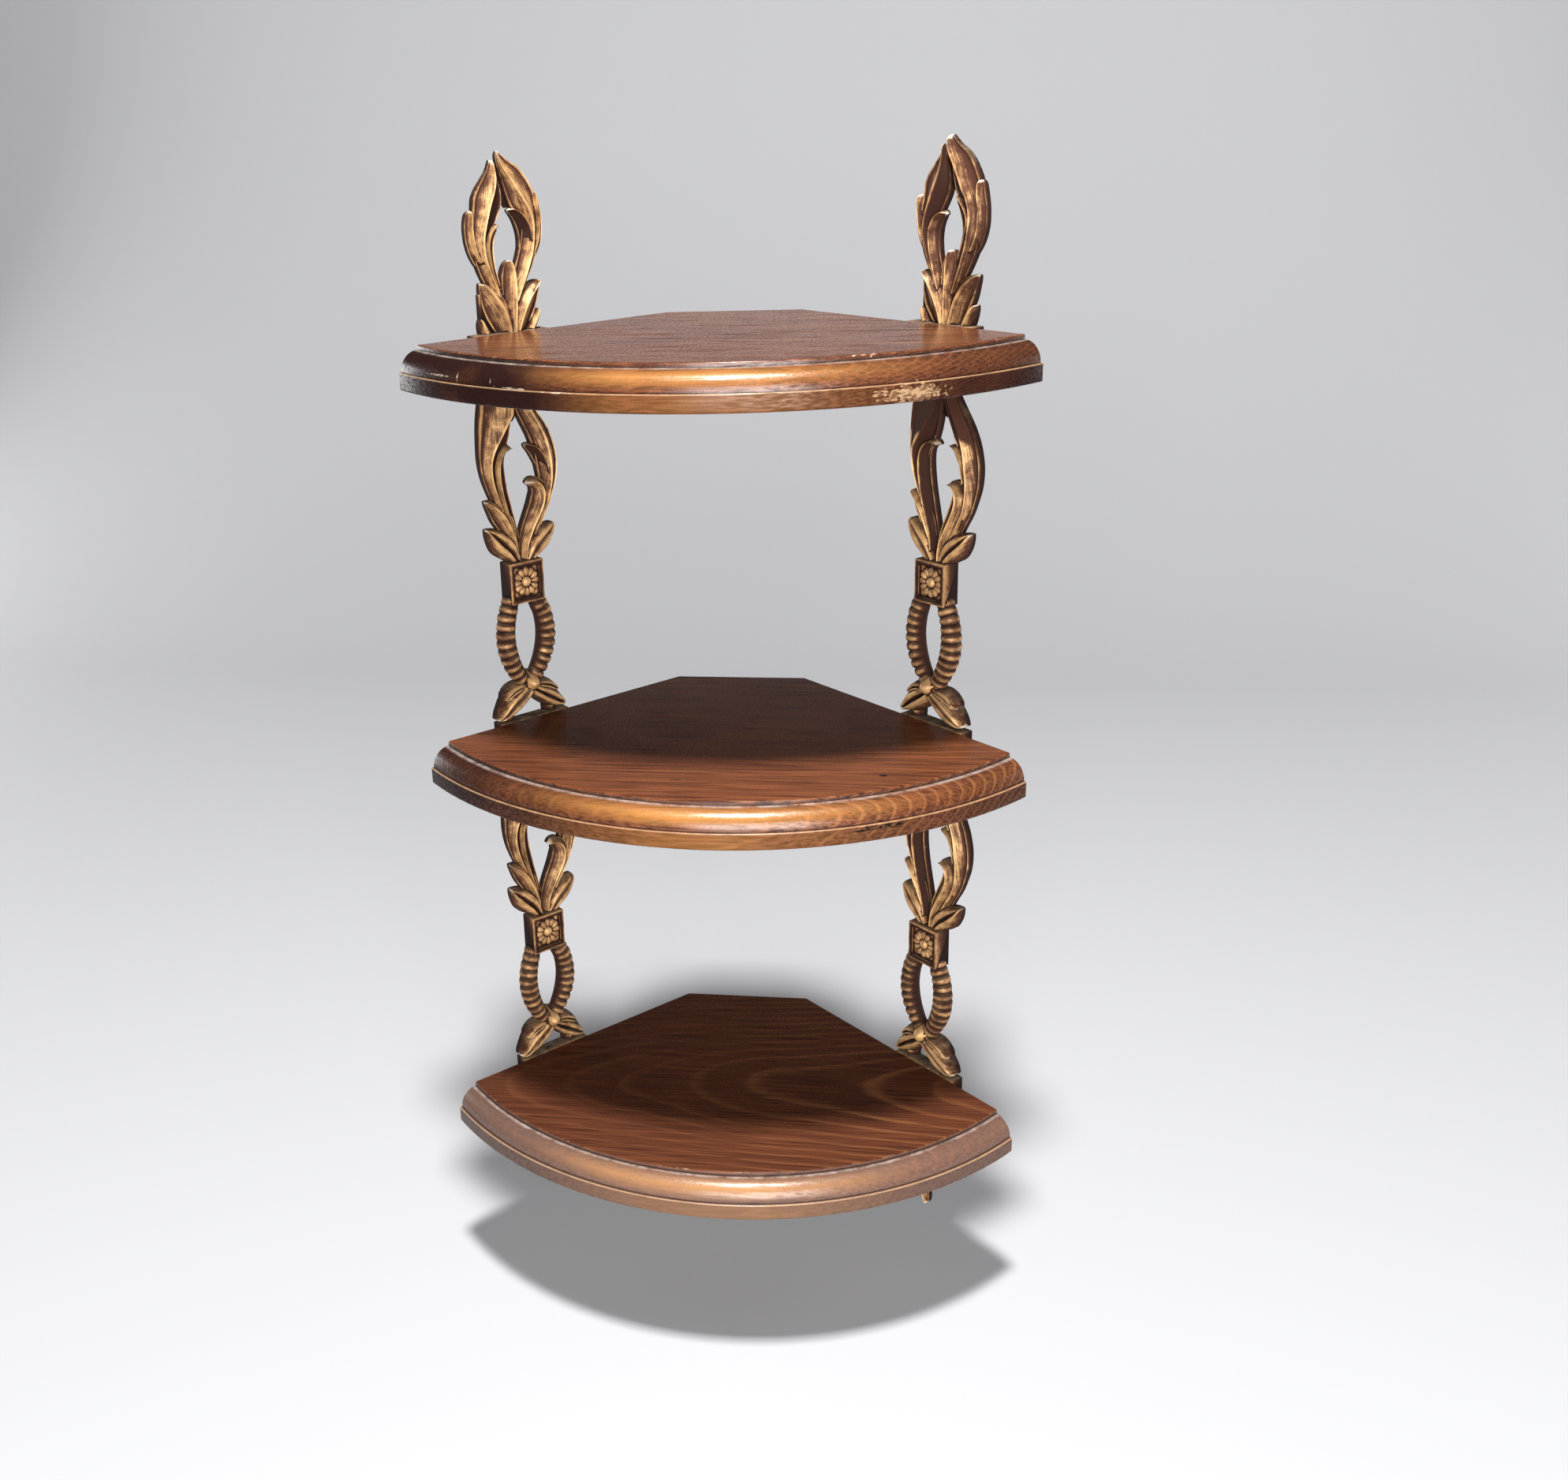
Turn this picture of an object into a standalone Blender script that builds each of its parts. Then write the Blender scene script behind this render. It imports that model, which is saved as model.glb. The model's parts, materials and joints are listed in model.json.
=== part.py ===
"""Three-tier corner wall shelf: curved wooden boards on two openwork cast brackets.

Metres, +Z up. The boards' symmetry plane is X = 0 and their curved fronts face -Y. The two walls
meet at right angles behind the shelf. The origin lies midway between the two hanging slots.
"""
import math

import bmesh
import bpy
from mathutils import Matrix, Vector

# Boards
SHELF_SPAN = 0.280
SHELF_DEPTH = 0.174
SHELF_THICK = 0.019
CORNER_CUT = 0.066
TIER_PITCH = 0.190
STEP_DEPTH = 0.002
OVOLO_RADIUS = 0.009
LEDGE_WIDTH = 0.0013

# Brackets
BRACKET_REACH = 0.145
BRACKET_WIDTH = 0.0455
BRACKET_THICK = 0.008
PAD_WIDTH = 0.040
FINIAL_HEIGHT = 0.0799
FAN_HEIGHT = 0.018
FAN_WIDTH = 0.028
FAN_THICK = 0.0054
BLOCK_WIDTH = 0.019
BLOCK_SHIFT = -0.001
BLOCK_HEIGHT = 0.0205
BLOCK_THICK = 0.0094
BLOCK_FRAME = 0.0021
BLOCK_RECESS = 0.0018
DAISY_RADIUS = 0.0064
DAISY_NOTCH_RADIUS = 0.0050
DAISY_PETALS = 12
BOSS_RADIUS = 0.0023
LOOP_HEIGHT = 0.060
LOOP_RIBS = 11
RIB_DEPTH = 0.0010
PENDANT_DROP = 0.0675

# Wood screws through the pads into the boards
SCREW_SPACING = 0.022
SCREW_LENGTH = 0.028
SCREW_SHANK = 0.0035
SCREW_HEAD = 0.007
SCREW_POINT = 0.004
SCREW_SINK = 0.0003

# Keyhole hangers
HANGER_RISE = 0.009
HANGER_WIDTH = 0.025
HANGER_HEIGHT = 0.014
HANGER_THICK = 0.001
KEYHOLE_WIDTH = 0.0064
KEYHOLE_SLOT = 0.0034
KEYHOLE_RISE = 0.0046
HEAD_POCKET_DEPTH = 0.0026
PIN_SPACING = 0.018
PIN_SHANK = 0.0018
PIN_HEAD = 0.0036
PIN_LENGTH = 0.0042
PIN_POINT = 0.0008

# Clearance between pieces that touch, and play of a screw or pin in its hole
FIT = 0.0003

# Depth behind the wall plane to which the casting is first made, and how it differs by strand
BACK_TRIM = 0.0009
BACK_STAGGER = 0.05

# Facets of the rounded surfaces
BOARD_STEPS = 96
OVOLO_STEPS = 5
TURN_STEPS = 12
DOME_STEPS = 3

# The size at which the cast ornament below was drawn, in millimetres
DRAWN_WIDTH = 45.5
DRAWN_THICK = 8.0
DRAWN_FINIAL = 79.9
DRAWN_BOW = 90.5
DRAWN_LOOP = 60.0
DRAWN_PENDANT = 67.5

# Strands of the ornament, each from root to tip: across, up, half width, ridge height.
# The finial is drawn up from the top of a board.
FINIAL_STRANDS = {
    "left_blade": [(-4, 14, 3, 6), (-6, 21, 3.5, 6.2), (-9.4, 28, 4, 6.8), (-12.2, 35, 4.5, 7.2),
                   (-12.8, 43, 4.9, 7.6), (-11.8, 50.5, 5.4, 7.8), (-8.8, 57.5, 5.8, 7.8),
                   (-5.8, 63.8, 4.6, 7.2), (-4, 69, 2.9, 6.6), (-4, 73, 0.9, 5.4)],
    "left_curl": [(-2, 14, 2.2, 6), (-5, 22, 2.4, 6), (-7.4, 30, 2.6, 6.2), (-8.4, 37, 2.7, 6.4),
                  (-8, 41.6, 2.5, 6.6), (-6.4, 44.8, 1.9, 6.8), (-4.5, 46, 1.3, 6.6), (-2.6, 45.4, 0.7, 6)],
    "left_spur": [(-13.6, 33, 1.6, 5), (-16, 40, 2.4, 5.4), (-16.8, 47, 2.3, 5.8), (-17, 53.8, 1.2, 5.8)],
    "right_blade": [(4.5, 14, 3, 6), (7.4, 21, 3.6, 6.4), (10.6, 28, 4.3, 7), (13.6, 35.5, 4.8, 7.6),
                    (15.2, 43.5, 4.9, 8), (14.6, 51, 4.8, 8), (11.6, 58.4, 4.7, 7.8), (7.8, 65, 4.2, 7.4),
                    (4.4, 70.4, 3.2, 6.8), (1.6, 75.2, 2.2, 6.2), (0.6, 79.9, 0.8, 5.4)],
    "right_curl": [(5, 16, 2, 6), (8.8, 24, 2.1, 6), (12.2, 30, 2.2, 6.2), (14.2, 37, 2.2, 6.4),
                   (14.2, 43, 2.1, 6.6), (12.8, 47.4, 1.9, 6.8), (10.2, 50.4, 1.6, 6.8),
                   (7.2, 51.4, 1.1, 6.4), (4.6, 50.6, 0.7, 6)],
    "right_spur": [(17, 47, 1.5, 5), (16.8, 52, 2.2, 5.6), (16.9, 56.6, 1.8, 6), (18.8, 60.4, 0.8, 6)],
    "web": [(3.5, 53, 1.5, 3.4), (2.6, 58, 4.2, 3.8), (0.8, 63.5, 4.6, 4), (-0.6, 69, 3, 4),
            (-1.2, 73.5, 0.8, 3.6)],
    "left_leaf": [(-2.5, -4, 3.2, 7), (-6, 5, 5.2, 7.6), (-9.6, 12, 5.6, 8), (-12.4, 17.4, 3.8, 7.4),
                  (-14.8, 22, 0.8, 6)],
    "right_leaf": [(3.5, -4, 3.2, 7), (7.2, 4, 5, 7.6), (11.4, 10, 5, 8), (15.2, 15, 3.4, 7.4),
                   (18.4, 19.2, 0.8, 6)],
    "middle_leaf": [(0.4, -4, 3.2, 7.4), (0.3, 8, 3.6, 8.2), (0.5, 17, 4, 8.4), (0.8, 24.6, 3.4, 7.8),
                    (0.9, 30.4, 1.2, 6)],
    "left_scroll": [(-11, -3, 3.2, 5.4), (-13.4, 2, 2.6, 5.6), (-15.4, 6.4, 0.9, 5)],
    "right_scroll": [(11, -3, 3.2, 5.8), (14.6, 3.4, 2.6, 6.4), (17.6, 9, 0.9, 6)],
}
# The bows are drawn down from the underside of a board to the rosette block.
BOW_STRANDS = {
    "left_blade": [(-6.4, 3, 4.8, 7), (-7.4, -10, 5.9, 7.4), (-9.7, -21, 7, 8), (-12.7, -31, 6.4, 8),
                   (-14.1, -39, 5.5, 7.8), (-13.9, -47, 4.7, 7.4), (-12.2, -55, 4, 6.8),
                   (-9.4, -63, 3.4, 6.2), (-6.4, -73, 2.8, 5.8), (-4.2, -84, 2.6, 5.6)],
    "left_stem": [(-2.6, -93, 2.8, 7), (-3.2, -82, 2.9, 7), (-5, -73, 3.1, 7.2), (-7.2, -64, 3.3, 7.4),
                  (-9, -55.5, 3.4, 7.6), (-10, -47.5, 3.4, 7.8), (-10, -41.5, 3.1, 7.8),
                  (-8.8, -37.4, 2.5, 7.8), (-6.6, -35, 1.8, 7.6), (-3.9, -35.2, 0.8, 7)],
    "left_upper_leaf": [(-4.6, -80, 2.4, 7), (-7.2, -72.6, 3.4, 7.6), (-10.6, -66, 3.5, 7.6),
                        (-14, -61.4, 2.4, 7.2), (-17, -58.2, 0.8, 6)],
    "left_lower_leaf": [(-3.6, -91, 2.6, 7), (-7.2, -84.4, 4.4, 7.8), (-11.2, -79.6, 4.8, 7.8),
                        (-14.8, -75.6, 3.2, 7.2), (-17.8, -72, 0.8, 6)],
    "right_blade": [(1.6, 3, 2.6, 6.6), (2.2, -8, 3, 7), (4.2, -15, 3.8, 7.4), (7.8, -22, 4.6, 7.8),
                    (11.8, -29, 5.2, 8), (14.8, -36, 5.6, 8), (16.8, -44, 5.8, 8), (17, -52, 5.8, 7.8),
                    (15.6, -60, 5.6, 7.6), (12.6, -68, 5, 7.2), (8.6, -76, 4.3, 6.8), (4.8, -84, 3.6, 6.6),
                    (2.6, -93, 3, 6.6)],
    "right_hook": [(14, -47, 2, 7.4), (12.8, -42, 2.3, 7.8), (11, -38, 2.1, 8), (9.2, -35.2, 1.5, 8),
                   (7.2, -33.6, 0.8, 7.6)],
    "right_stem": [(1.2, -93, 2.8, 7), (2.2, -84, 3, 7.4), (4.6, -77, 3.4, 7.8), (7.8, -70.4, 3.8, 8.2),
                   (10.4, -64.6, 3.9, 8.6), (12, -59.6, 3.6, 8.6), (12.2, -55, 2.8, 8.4), (10.8, -52, 2, 8),
                   (8.6, -51.2, 1.4, 7.6), (6.2, -52.2, 0.8, 7.2)],
    "right_leaf": [(3, -91, 2.6, 7), (7, -85, 4.2, 7.8), (11.2, -81, 4.4, 7.8), (15, -77.6, 3, 7.2),
                   (18.4, -74, 0.8, 6)],
    "web": [(-1.6, 3, 3.8, 4), (-0.6, -10, 4, 4), (0.2, -19, 3.2, 4), (0.8, -25.6, 0.8, 3.6)],
}
# The ribbed loop is drawn down from the block to the top of the board below.
LOOP_ARMS = {
    "left_arm": [(-8.4, 3, 4.2, 9.4), (-10, -2, 4.6, 9.6), (-12, -8.4, 4.8, 10), (-13, -16, 4.9, 10.2),
                 (-12.5, -23, 4.9, 10.2), (-10.7, -29.6, 4.7, 10), (-7.9, -35.6, 4.3, 9.4),
                 (-4.4, -41, 3.9, 8.8)],
    "right_arm": [(5, 3, 4.2, 9.4), (6.6, -2, 4.6, 9.6), (8.8, -7.4, 4.8, 10), (10, -14.6, 5, 10.2),
                  (9.8, -21.4, 5.1, 10.2), (8.2, -28, 5, 10.2), (5.4, -34, 4.6, 10.2),
                  (1.6, -40, 4.2, 10.2)],
}
LOOP_STRANDS = {
    "left_foot": [(2.2, -41, 2.6, 9), (-2.8, -45.4, 3.4, 9.6), (-7.6, -49.2, 4.6, 10),
                  (-12.6, -53, 4.9, 10), (-17.4, -56.2, 3.4, 9.2), (-21, -58.6, 0.9, 8)],
    "right_foot": [(-5, -41, 2.6, 9), (0.6, -45.6, 3.4, 9.6), (5.8, -49.6, 4.6, 10),
                   (10.8, -53.4, 4.9, 10), (15.2, -56.6, 3.4, 9), (18.6, -58.8, 0.9, 7.8)],
    "left_root": [(-13, -51, 3.4, 5.4), (-13, -63, 4.4, 5.4)],
    "right_root": [(11.6, -51, 3.4, 5.4), (11.6, -63, 4.4, 5.4)],
}
KNOT_CENTRE = (-1.5, -41.6)
KNOT_RADII = (4.8, 4.4)
KNOT_RISE = 10.4
# The pendant is drawn down from the underside of the bottom board.
PENDANT_STRANDS = {
    "left_blade": [(-7.4, 3, 4.8, 7), (-11.2, -11, 5.6, 7.6), (-12.2, -25, 5.4, 8), (-9.8, -38, 4.8, 7.6),
                   (-5.6, -50, 3.9, 7), (-1.8, -60, 2.7, 6.2), (-0.2, -67.5, 0.9, 5.2)],
    "right_blade": [(6, 3, 4.8, 7), (10.4, -11, 5.6, 7.6), (11.6, -25, 5.4, 8), (9.4, -38, 4.8, 7.6),
                    (5.4, -49, 3.8, 7), (1.6, -58, 2.4, 6.2)],
    "left_leaf": [(-7.6, -35, 3, 7), (-11.6, -43, 3, 7), (-15, -51, 0.8, 5.8)],
    "right_leaf": [(7.6, -35, 3, 7), (9.4, -42, 2.6, 6.8), (10.2, -49, 0.8, 5.8)],
    "middle_leaf": [(-0.6, 3, 4.2, 7.6), (-0.6, -9, 4.6, 8.2), (-0.6, -19, 3.4, 7.4),
                    (-0.6, -29, 0.9, 5.6)],
}

# Sections of a strand and of a ribbed arm: place across and height, as shares of the station's
EDGE_SHARE = 0.62
ARM_ANGLES = (-45.0, 0.0, 45.0, 90.0, 135.0, 180.0, 225.0)
RIDGE = [(-1.0, EDGE_SHARE), (0.0, 1.0), (1.0, EDGE_SHARE)]
ROUND = [(-math.cos(a), (1.0 + math.sin(a)) / 2.0) for a in map(math.radians, ARM_ANGLES)]

# Positions that follow from the sizes above
WALL_TURN = math.radians(45.0)
HANG_X = BRACKET_REACH * math.sin(WALL_TURN)
TOP_LEVEL = -HANGER_RISE
SHELF_LEVELS = {
    "top_shelf": TOP_LEVEL,
    "middle_shelf": TOP_LEVEL - TIER_PITCH,
    "bottom_shelf": TOP_LEVEL - 2.0 * TIER_PITCH,
}
BACK_MEET_Y = HANG_X - (BRACKET_THICK + FIT) / math.cos(WALL_TURN)
BACK_EDGE_Y = BACK_MEET_Y - CORNER_CUT / 2.0
END_Y = BACK_MEET_Y - SHELF_SPAN / 2.0
FRONT_Y = BACK_EDGE_Y - SHELF_DEPTH
FRONT_RISE = END_Y - FRONT_Y
FRONT_RADIUS = ((SHELF_SPAN / 2.0) ** 2 + FRONT_RISE ** 2) / (2.0 * FRONT_RISE)
BOW_HEIGHT = TIER_PITCH - SHELF_THICK - BLOCK_HEIGHT - LOOP_HEIGHT
SCALE_ACROSS = BRACKET_WIDTH / DRAWN_WIDTH
SCALE_OUT = BRACKET_THICK / DRAWN_THICK


def clear_scene():
    for old in list(bpy.data.objects):
        bpy.data.objects.remove(old, do_unlink=True)


def new_collection(name):
    collection = bpy.data.collections.new(name)
    bpy.context.scene.collection.children.link(collection)
    return collection


def new_material(name, colour, roughness, metallic):
    material = bpy.data.materials.new(name)
    material.use_nodes = True
    shader = material.node_tree.nodes["Principled BSDF"]
    shader.inputs["Base Color"].default_value = (*colour, 1.0)
    shader.inputs["Roughness"].default_value = roughness
    shader.inputs["Metallic"].default_value = metallic
    return material


def add_object(name, mesh, collection, parent=None, location=(0.0, 0.0, 0.0)):
    thing = bpy.data.objects.new(name, mesh)
    collection.objects.link(thing)
    thing.parent = parent
    thing.location = location
    return thing


def as_cutter(thing):
    thing.hide_render = True
    thing.display_type = "WIRE"
    return thing


def mesh_from(bm, name):
    bmesh.ops.recalc_face_normals(bm, faces=bm.faces)
    mesh = bpy.data.meshes.new(name)
    bm.to_mesh(mesh)
    bm.free()
    return mesh


def evaluated_mesh(thing):
    """The object's mesh with its modifiers taken in, welded where caps or seams meet."""
    bpy.context.view_layer.update()
    graph = bpy.context.evaluated_depsgraph_get()
    mesh = bpy.data.meshes.new_from_object(thing.evaluated_get(graph), depsgraph=graph)
    bm = bmesh.new()
    bm.from_mesh(mesh)
    bmesh.ops.remove_doubles(bm, verts=bm.verts, dist=1e-6)
    bm.to_mesh(mesh)
    bm.free()
    return mesh


def combine(target, others, operation):
    """Joins, cuts or trims the target with other objects, one after another."""
    for other in others:
        step = target.modifiers.new(operation.lower(), "BOOLEAN")
        step.operation = operation
        step.solver = "EXACT"
        step.object = other
        mesh = evaluated_mesh(target)
        target.modifiers.clear()
        target.data = mesh
    return target


def remove_all(things):
    for thing in things:
        bpy.data.objects.remove(thing, do_unlink=True)


def box(name, low, high, collection):
    bm = bmesh.new()
    bmesh.ops.create_cube(bm, size=1.0)
    size = Vector(high) - Vector(low)
    middle = (Vector(high) + Vector(low)) / 2.0
    bmesh.ops.scale(bm, vec=size, verts=bm.verts)
    bmesh.ops.translate(bm, vec=middle, verts=bm.verts)
    return add_object(name, mesh_from(bm, name), collection)


def turned(name, profile, steps, collection):
    """A profile of (radius, height) points, top to bottom, turned about the Z axis."""
    mesh = bpy.data.meshes.new(name)
    points = [(radius, 0.0, height) for radius, height in profile]
    edges = [(i, i + 1) for i in range(len(points) - 1)]
    mesh.from_pydata(points, edges, [])
    thing = add_object(name, mesh, collection)
    screw = thing.modifiers.new("turn", "SCREW")
    screw.steps = steps
    screw.render_steps = steps
    screw.use_merge_vertices = True
    screw.merge_threshold = 1e-5
    thing.data = evaluated_mesh(thing)
    thing.modifiers.clear()
    return thing


def flat_outline(name, points, thickness, collection):
    """A filled outline in the XY plane, thickened upwards from Z = 0."""
    curve = bpy.data.curves.new(name, "CURVE")
    curve.dimensions = "2D"
    curve.fill_mode = "BOTH"
    curve.extrude = thickness / 2.0
    spline = curve.splines.new("POLY")
    spline.points.add(len(points) - 1)
    spline.use_cyclic_u = True
    for slot, (x, y) in zip(spline.points, points):
        slot.co = (x, y, 0.0, 1.0)
    drawn = add_object(name + "_outline", curve, collection, location=(0.0, 0.0, thickness / 2.0))
    mesh = evaluated_mesh(drawn)
    mesh.transform(drawn.matrix_world)
    bpy.data.objects.remove(drawn, do_unlink=True)
    return add_object(name, mesh, collection)


def smooth_path(stations, count):
    """Points spread evenly along a smooth curve through the stations."""
    path = [Vector(station) for station in stations]
    ends = [2.0 * path[0] - path[1]] + path + [2.0 * path[-1] - path[-2]]
    fine = []
    pieces = 12
    for i in range(1, len(ends) - 2):
        a, b, c, d = ends[i - 1], ends[i], ends[i + 1], ends[i + 2]
        for k in range(pieces):
            t = k / pieces
            bend = (2.0 * a - 5.0 * b + 4.0 * c - d) * t ** 2
            twist = (3.0 * b - a - 3.0 * c + d) * t ** 3
            fine.append((2.0 * b + (c - a) * t + bend + twist) / 2.0)
    fine.append(path[-1])
    lengths = [0.0]
    for before, after in zip(fine, fine[1:]):
        lengths.append(lengths[-1] + (after.xy - before.xy).length)
    evenly = []
    place = 0
    for k in range(count):
        target = lengths[-1] * k / (count - 1)
        while place < len(fine) - 2 and lengths[place + 1] < target:
            place += 1
        span = lengths[place + 1] - lengths[place]
        evenly.append(fine[place].lerp(fine[place + 1], (target - lengths[place]) / span))
    return evenly


def loft(name, stations, section, back, collection):
    """A solid with a flat back swept along stations of (across, up, half width, height).

    section lists (side, rise) pairs from the left edge to the right one, as shares of the half
    width and of the height. The solid stands out from the wall along -Y.
    """
    bm = bmesh.new()
    rings = []
    last = len(stations) - 1
    for i, (across, up, half, height) in enumerate(stations):
        ahead = Vector(stations[min(i + 1, last)][:2]) - Vector(stations[max(i - 1, 0)][:2])
        left = Vector((-ahead.y, ahead.x)).normalized() * half
        depths = [back] + [-height * rise for share, rise in section] + [back]
        shares = [section[0][0]] + [share for share, rise in section] + [section[-1][0]]
        rings.append([
            bm.verts.new((across - share * left.x, depth, up - share * left.y))
            for share, depth in zip(shares, depths)
        ])
    for before, after in zip(rings, rings[1:]):
        for k in range(len(before)):
            n = (k + 1) % len(before)
            bm.faces.new((before[k], before[n], after[n], after[k]))
    bm.faces.new(rings[0])
    bm.faces.new(rings[-1])
    bmesh.ops.triangulate(bm, faces=bm.faces)
    return add_object(name, mesh_from(bm, name), collection)


def placed(stations, top, scale_up):
    """Drawn stations in metres, measured from a level on the bracket."""
    return [
        (u * SCALE_ACROSS, top + v * scale_up, half * SCALE_ACROSS, height * SCALE_OUT)
        for u, v, half, height in stations
    ]


def back_depth(index):
    """Each strand starts a little behind the wall plane, at its own depth, and is trimmed there."""
    return BACK_TRIM * (1.0 + BACK_STAGGER * index)


def strand_group(strands, top, scale_up, start, collection):
    return [
        loft(name, placed(stations, top, scale_up), RIDGE, back_depth(start + i), collection)
        for i, (name, stations) in enumerate(strands.items())
    ]


def ribbed_arm(name, stations, index, collection):
    """One arm of the loop, swelling and narrowing once for each rib."""
    evenly = smooth_path(stations, 2 * LOOP_RIBS + 1)
    for k, station in enumerate(evenly):
        dip = RIB_DEPTH * (k % 2)
        station[2] -= dip
        station[3] -= dip
    return loft(name, evenly, ROUND, back_depth(index), collection)


def rosette_block(top, collection):
    """Square block with a sunk field and a domed daisy standing in it."""
    half = BLOCK_WIDTH / 2.0
    low = top - BLOCK_HEIGHT
    floor = BLOCK_THICK - BLOCK_RECESS
    block = box("block", (BLOCK_SHIFT - half, -BLOCK_THICK, low),
                (BLOCK_SHIFT + half, BACK_TRIM, top), collection)
    inner = half - BLOCK_FRAME
    field = box("field", (BLOCK_SHIFT - inner, -2.0 * BLOCK_THICK, low + BLOCK_FRAME),
                (BLOCK_SHIFT + inner, -floor, top - BLOCK_FRAME), collection)
    combine(block, [field], "DIFFERENCE")
    outline = []
    for k in range(2 * DAISY_PETALS):
        radius = DAISY_NOTCH_RADIUS if k % 2 else DAISY_RADIUS
        angle = math.pi * k / DAISY_PETALS
        outline.append((radius * math.cos(angle), radius * math.sin(angle)))
    petals = flat_outline("petals", outline, BLOCK_RECESS, collection)
    dome = []
    for k in range(DOME_STEPS + 1):
        angle = math.radians(90.0) * k / DOME_STEPS
        dome.append((BOSS_RADIUS * math.sin(angle), BLOCK_RECESS * math.cos(angle)))
    dome.append((BOSS_RADIUS, -BLOCK_RECESS))
    dome.append((0.0, -BLOCK_RECESS))
    boss = turned("boss", dome, TURN_STEPS, collection)
    facing = Matrix.Rotation(math.radians(90.0), 4, "X")
    middle = top - BLOCK_HEIGHT / 2.0
    petals.data.transform(Matrix.Translation((BLOCK_SHIFT, BLOCK_RECESS / 2.0 - floor, middle)) @ facing)
    boss.data.transform(Matrix.Translation((BLOCK_SHIFT, -floor, middle)) @ facing)
    combine(block, [petals, boss], "UNION")
    remove_all([field, petals, boss])
    return block


def knot(top, collection):
    """The bead where the loop's arms cross."""
    bm = bmesh.new()
    bmesh.ops.create_uvsphere(bm, u_segments=TURN_STEPS, v_segments=TURN_STEPS // 2, radius=1.0)
    across, up = KNOT_CENTRE
    scale_up = LOOP_HEIGHT / DRAWN_LOOP
    radii = (KNOT_RADII[0] * SCALE_ACROSS, KNOT_RISE * SCALE_OUT, KNOT_RADII[1] * scale_up)
    bmesh.ops.scale(bm, vec=radii, verts=bm.verts)
    bmesh.ops.translate(bm, vec=(across * SCALE_ACROSS, 0.0, top + up * scale_up), verts=bm.verts)
    return add_object("knot", mesh_from(bm, "knot"), collection)


def make_casting(cutters):
    """The bracket's casting, its wall face on Y = 0, from finial to pendant."""
    levels = list(SHELF_LEVELS.values())
    half_pad = PAD_WIDTH / 2.0
    pads = [
        box("pad", (-half_pad, -BRACKET_THICK, level - SHELF_THICK), (half_pad, BACK_TRIM, level), cutters)
        for level in levels
    ]
    pieces = strand_group(FINIAL_STRANDS, levels[0], FINIAL_HEIGHT / DRAWN_FINIAL, 0, cutters)
    half_fan = FAN_WIDTH / 2.0
    pieces.append(box("fan_back", (-half_fan, -FAN_THICK, levels[0] - SHELF_THICK / 2.0),
                      (half_fan, 2.0 * BACK_TRIM, levels[0] + FAN_HEIGHT), cutters))
    loop_scale = LOOP_HEIGHT / DRAWN_LOOP
    for level in levels[:-1]:
        under = level - SHELF_THICK
        block_top = under - BOW_HEIGHT
        loop_top = block_top - BLOCK_HEIGHT
        pieces += strand_group(BOW_STRANDS, under, BOW_HEIGHT / DRAWN_BOW, 1, cutters)
        pieces.append(rosette_block(block_top, cutters))
        first_arm = len(BOW_STRANDS) + 1
        for i, (name, stations) in enumerate(LOOP_ARMS.items()):
            pieces.append(ribbed_arm(name, placed(stations, loop_top, loop_scale), first_arm + i, cutters))
        pieces.append(knot(loop_top, cutters))
        pieces += strand_group(LOOP_STRANDS, loop_top, loop_scale, first_arm + len(LOOP_ARMS), cutters)
    last_under = levels[-1] - SHELF_THICK
    pieces += strand_group(PENDANT_STRANDS, last_under, PENDANT_DROP / DRAWN_PENDANT, 1, cutters)
    casting = pads[0]
    combine(casting, pads[1:] + pieces, "UNION")
    reach = BRACKET_WIDTH + PAD_WIDTH
    lowest = last_under - 2.0 * PENDANT_DROP
    highest = levels[0] + 2.0 * FINIAL_HEIGHT
    behind = box("behind_wall", (-reach, 0.0, lowest), (reach, reach, highest), cutters)
    combine(casting, [behind], "DIFFERENCE")
    remove_all(pads[1:] + pieces + [behind])
    return casting


def countersunk(name, length, head, shank, point, collection):
    """Screw or pin lying along -Y, its flat head at Y = 0."""
    cone = (head - shank) / 2.0
    profile = [
        (0.0, 0.0),
        (head / 2.0, 0.0),
        (shank / 2.0, -cone),
        (shank / 2.0, -(length - point)),
        (0.0, -length),
    ]
    return lay_along_wall_normal(turned(name, profile, TURN_STEPS, collection))


def countersunk_hole(name, length, head, shank, collection):
    """Hole that clears a countersunk screw or pin all round and opens through the wall face."""
    hole = shank / 2.0 + FIT
    mouth = head / 2.0 + FIT
    profile = [
        (0.0, length),
        (mouth, length),
        (mouth, 0.0),
        (hole, hole - mouth),
        (hole, -(length + FIT)),
        (0.0, -(length + FIT)),
    ]
    return as_cutter(lay_along_wall_normal(turned(name, profile, TURN_STEPS, collection)))


def lay_along_wall_normal(thing):
    """Turns a shape made about +Z so that its top faces the wall and its foot the room."""
    thing.data.transform(Matrix.Rotation(math.radians(-90.0), 4, "X"))
    return thing


def screw_places(levels):
    """Screw heads on the bracket, one pair at the middle of each board's thickness."""
    half = SCREW_SPACING / 2.0
    return [
        (across, -SCREW_SINK, level - SHELF_THICK / 2.0)
        for level in levels
        for across in (-half, half)
    ]


def pin_places():
    half = PIN_SPACING / 2.0
    return [(-half, 0.0, 0.0), (half, 0.0, 0.0)]


def copies_at(master, places, collection, parent=None):
    """Cutters that share the master's mesh, one at each place."""
    return [as_cutter(add_object(master.name, master.data, collection, parent, place)) for place in places]


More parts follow.
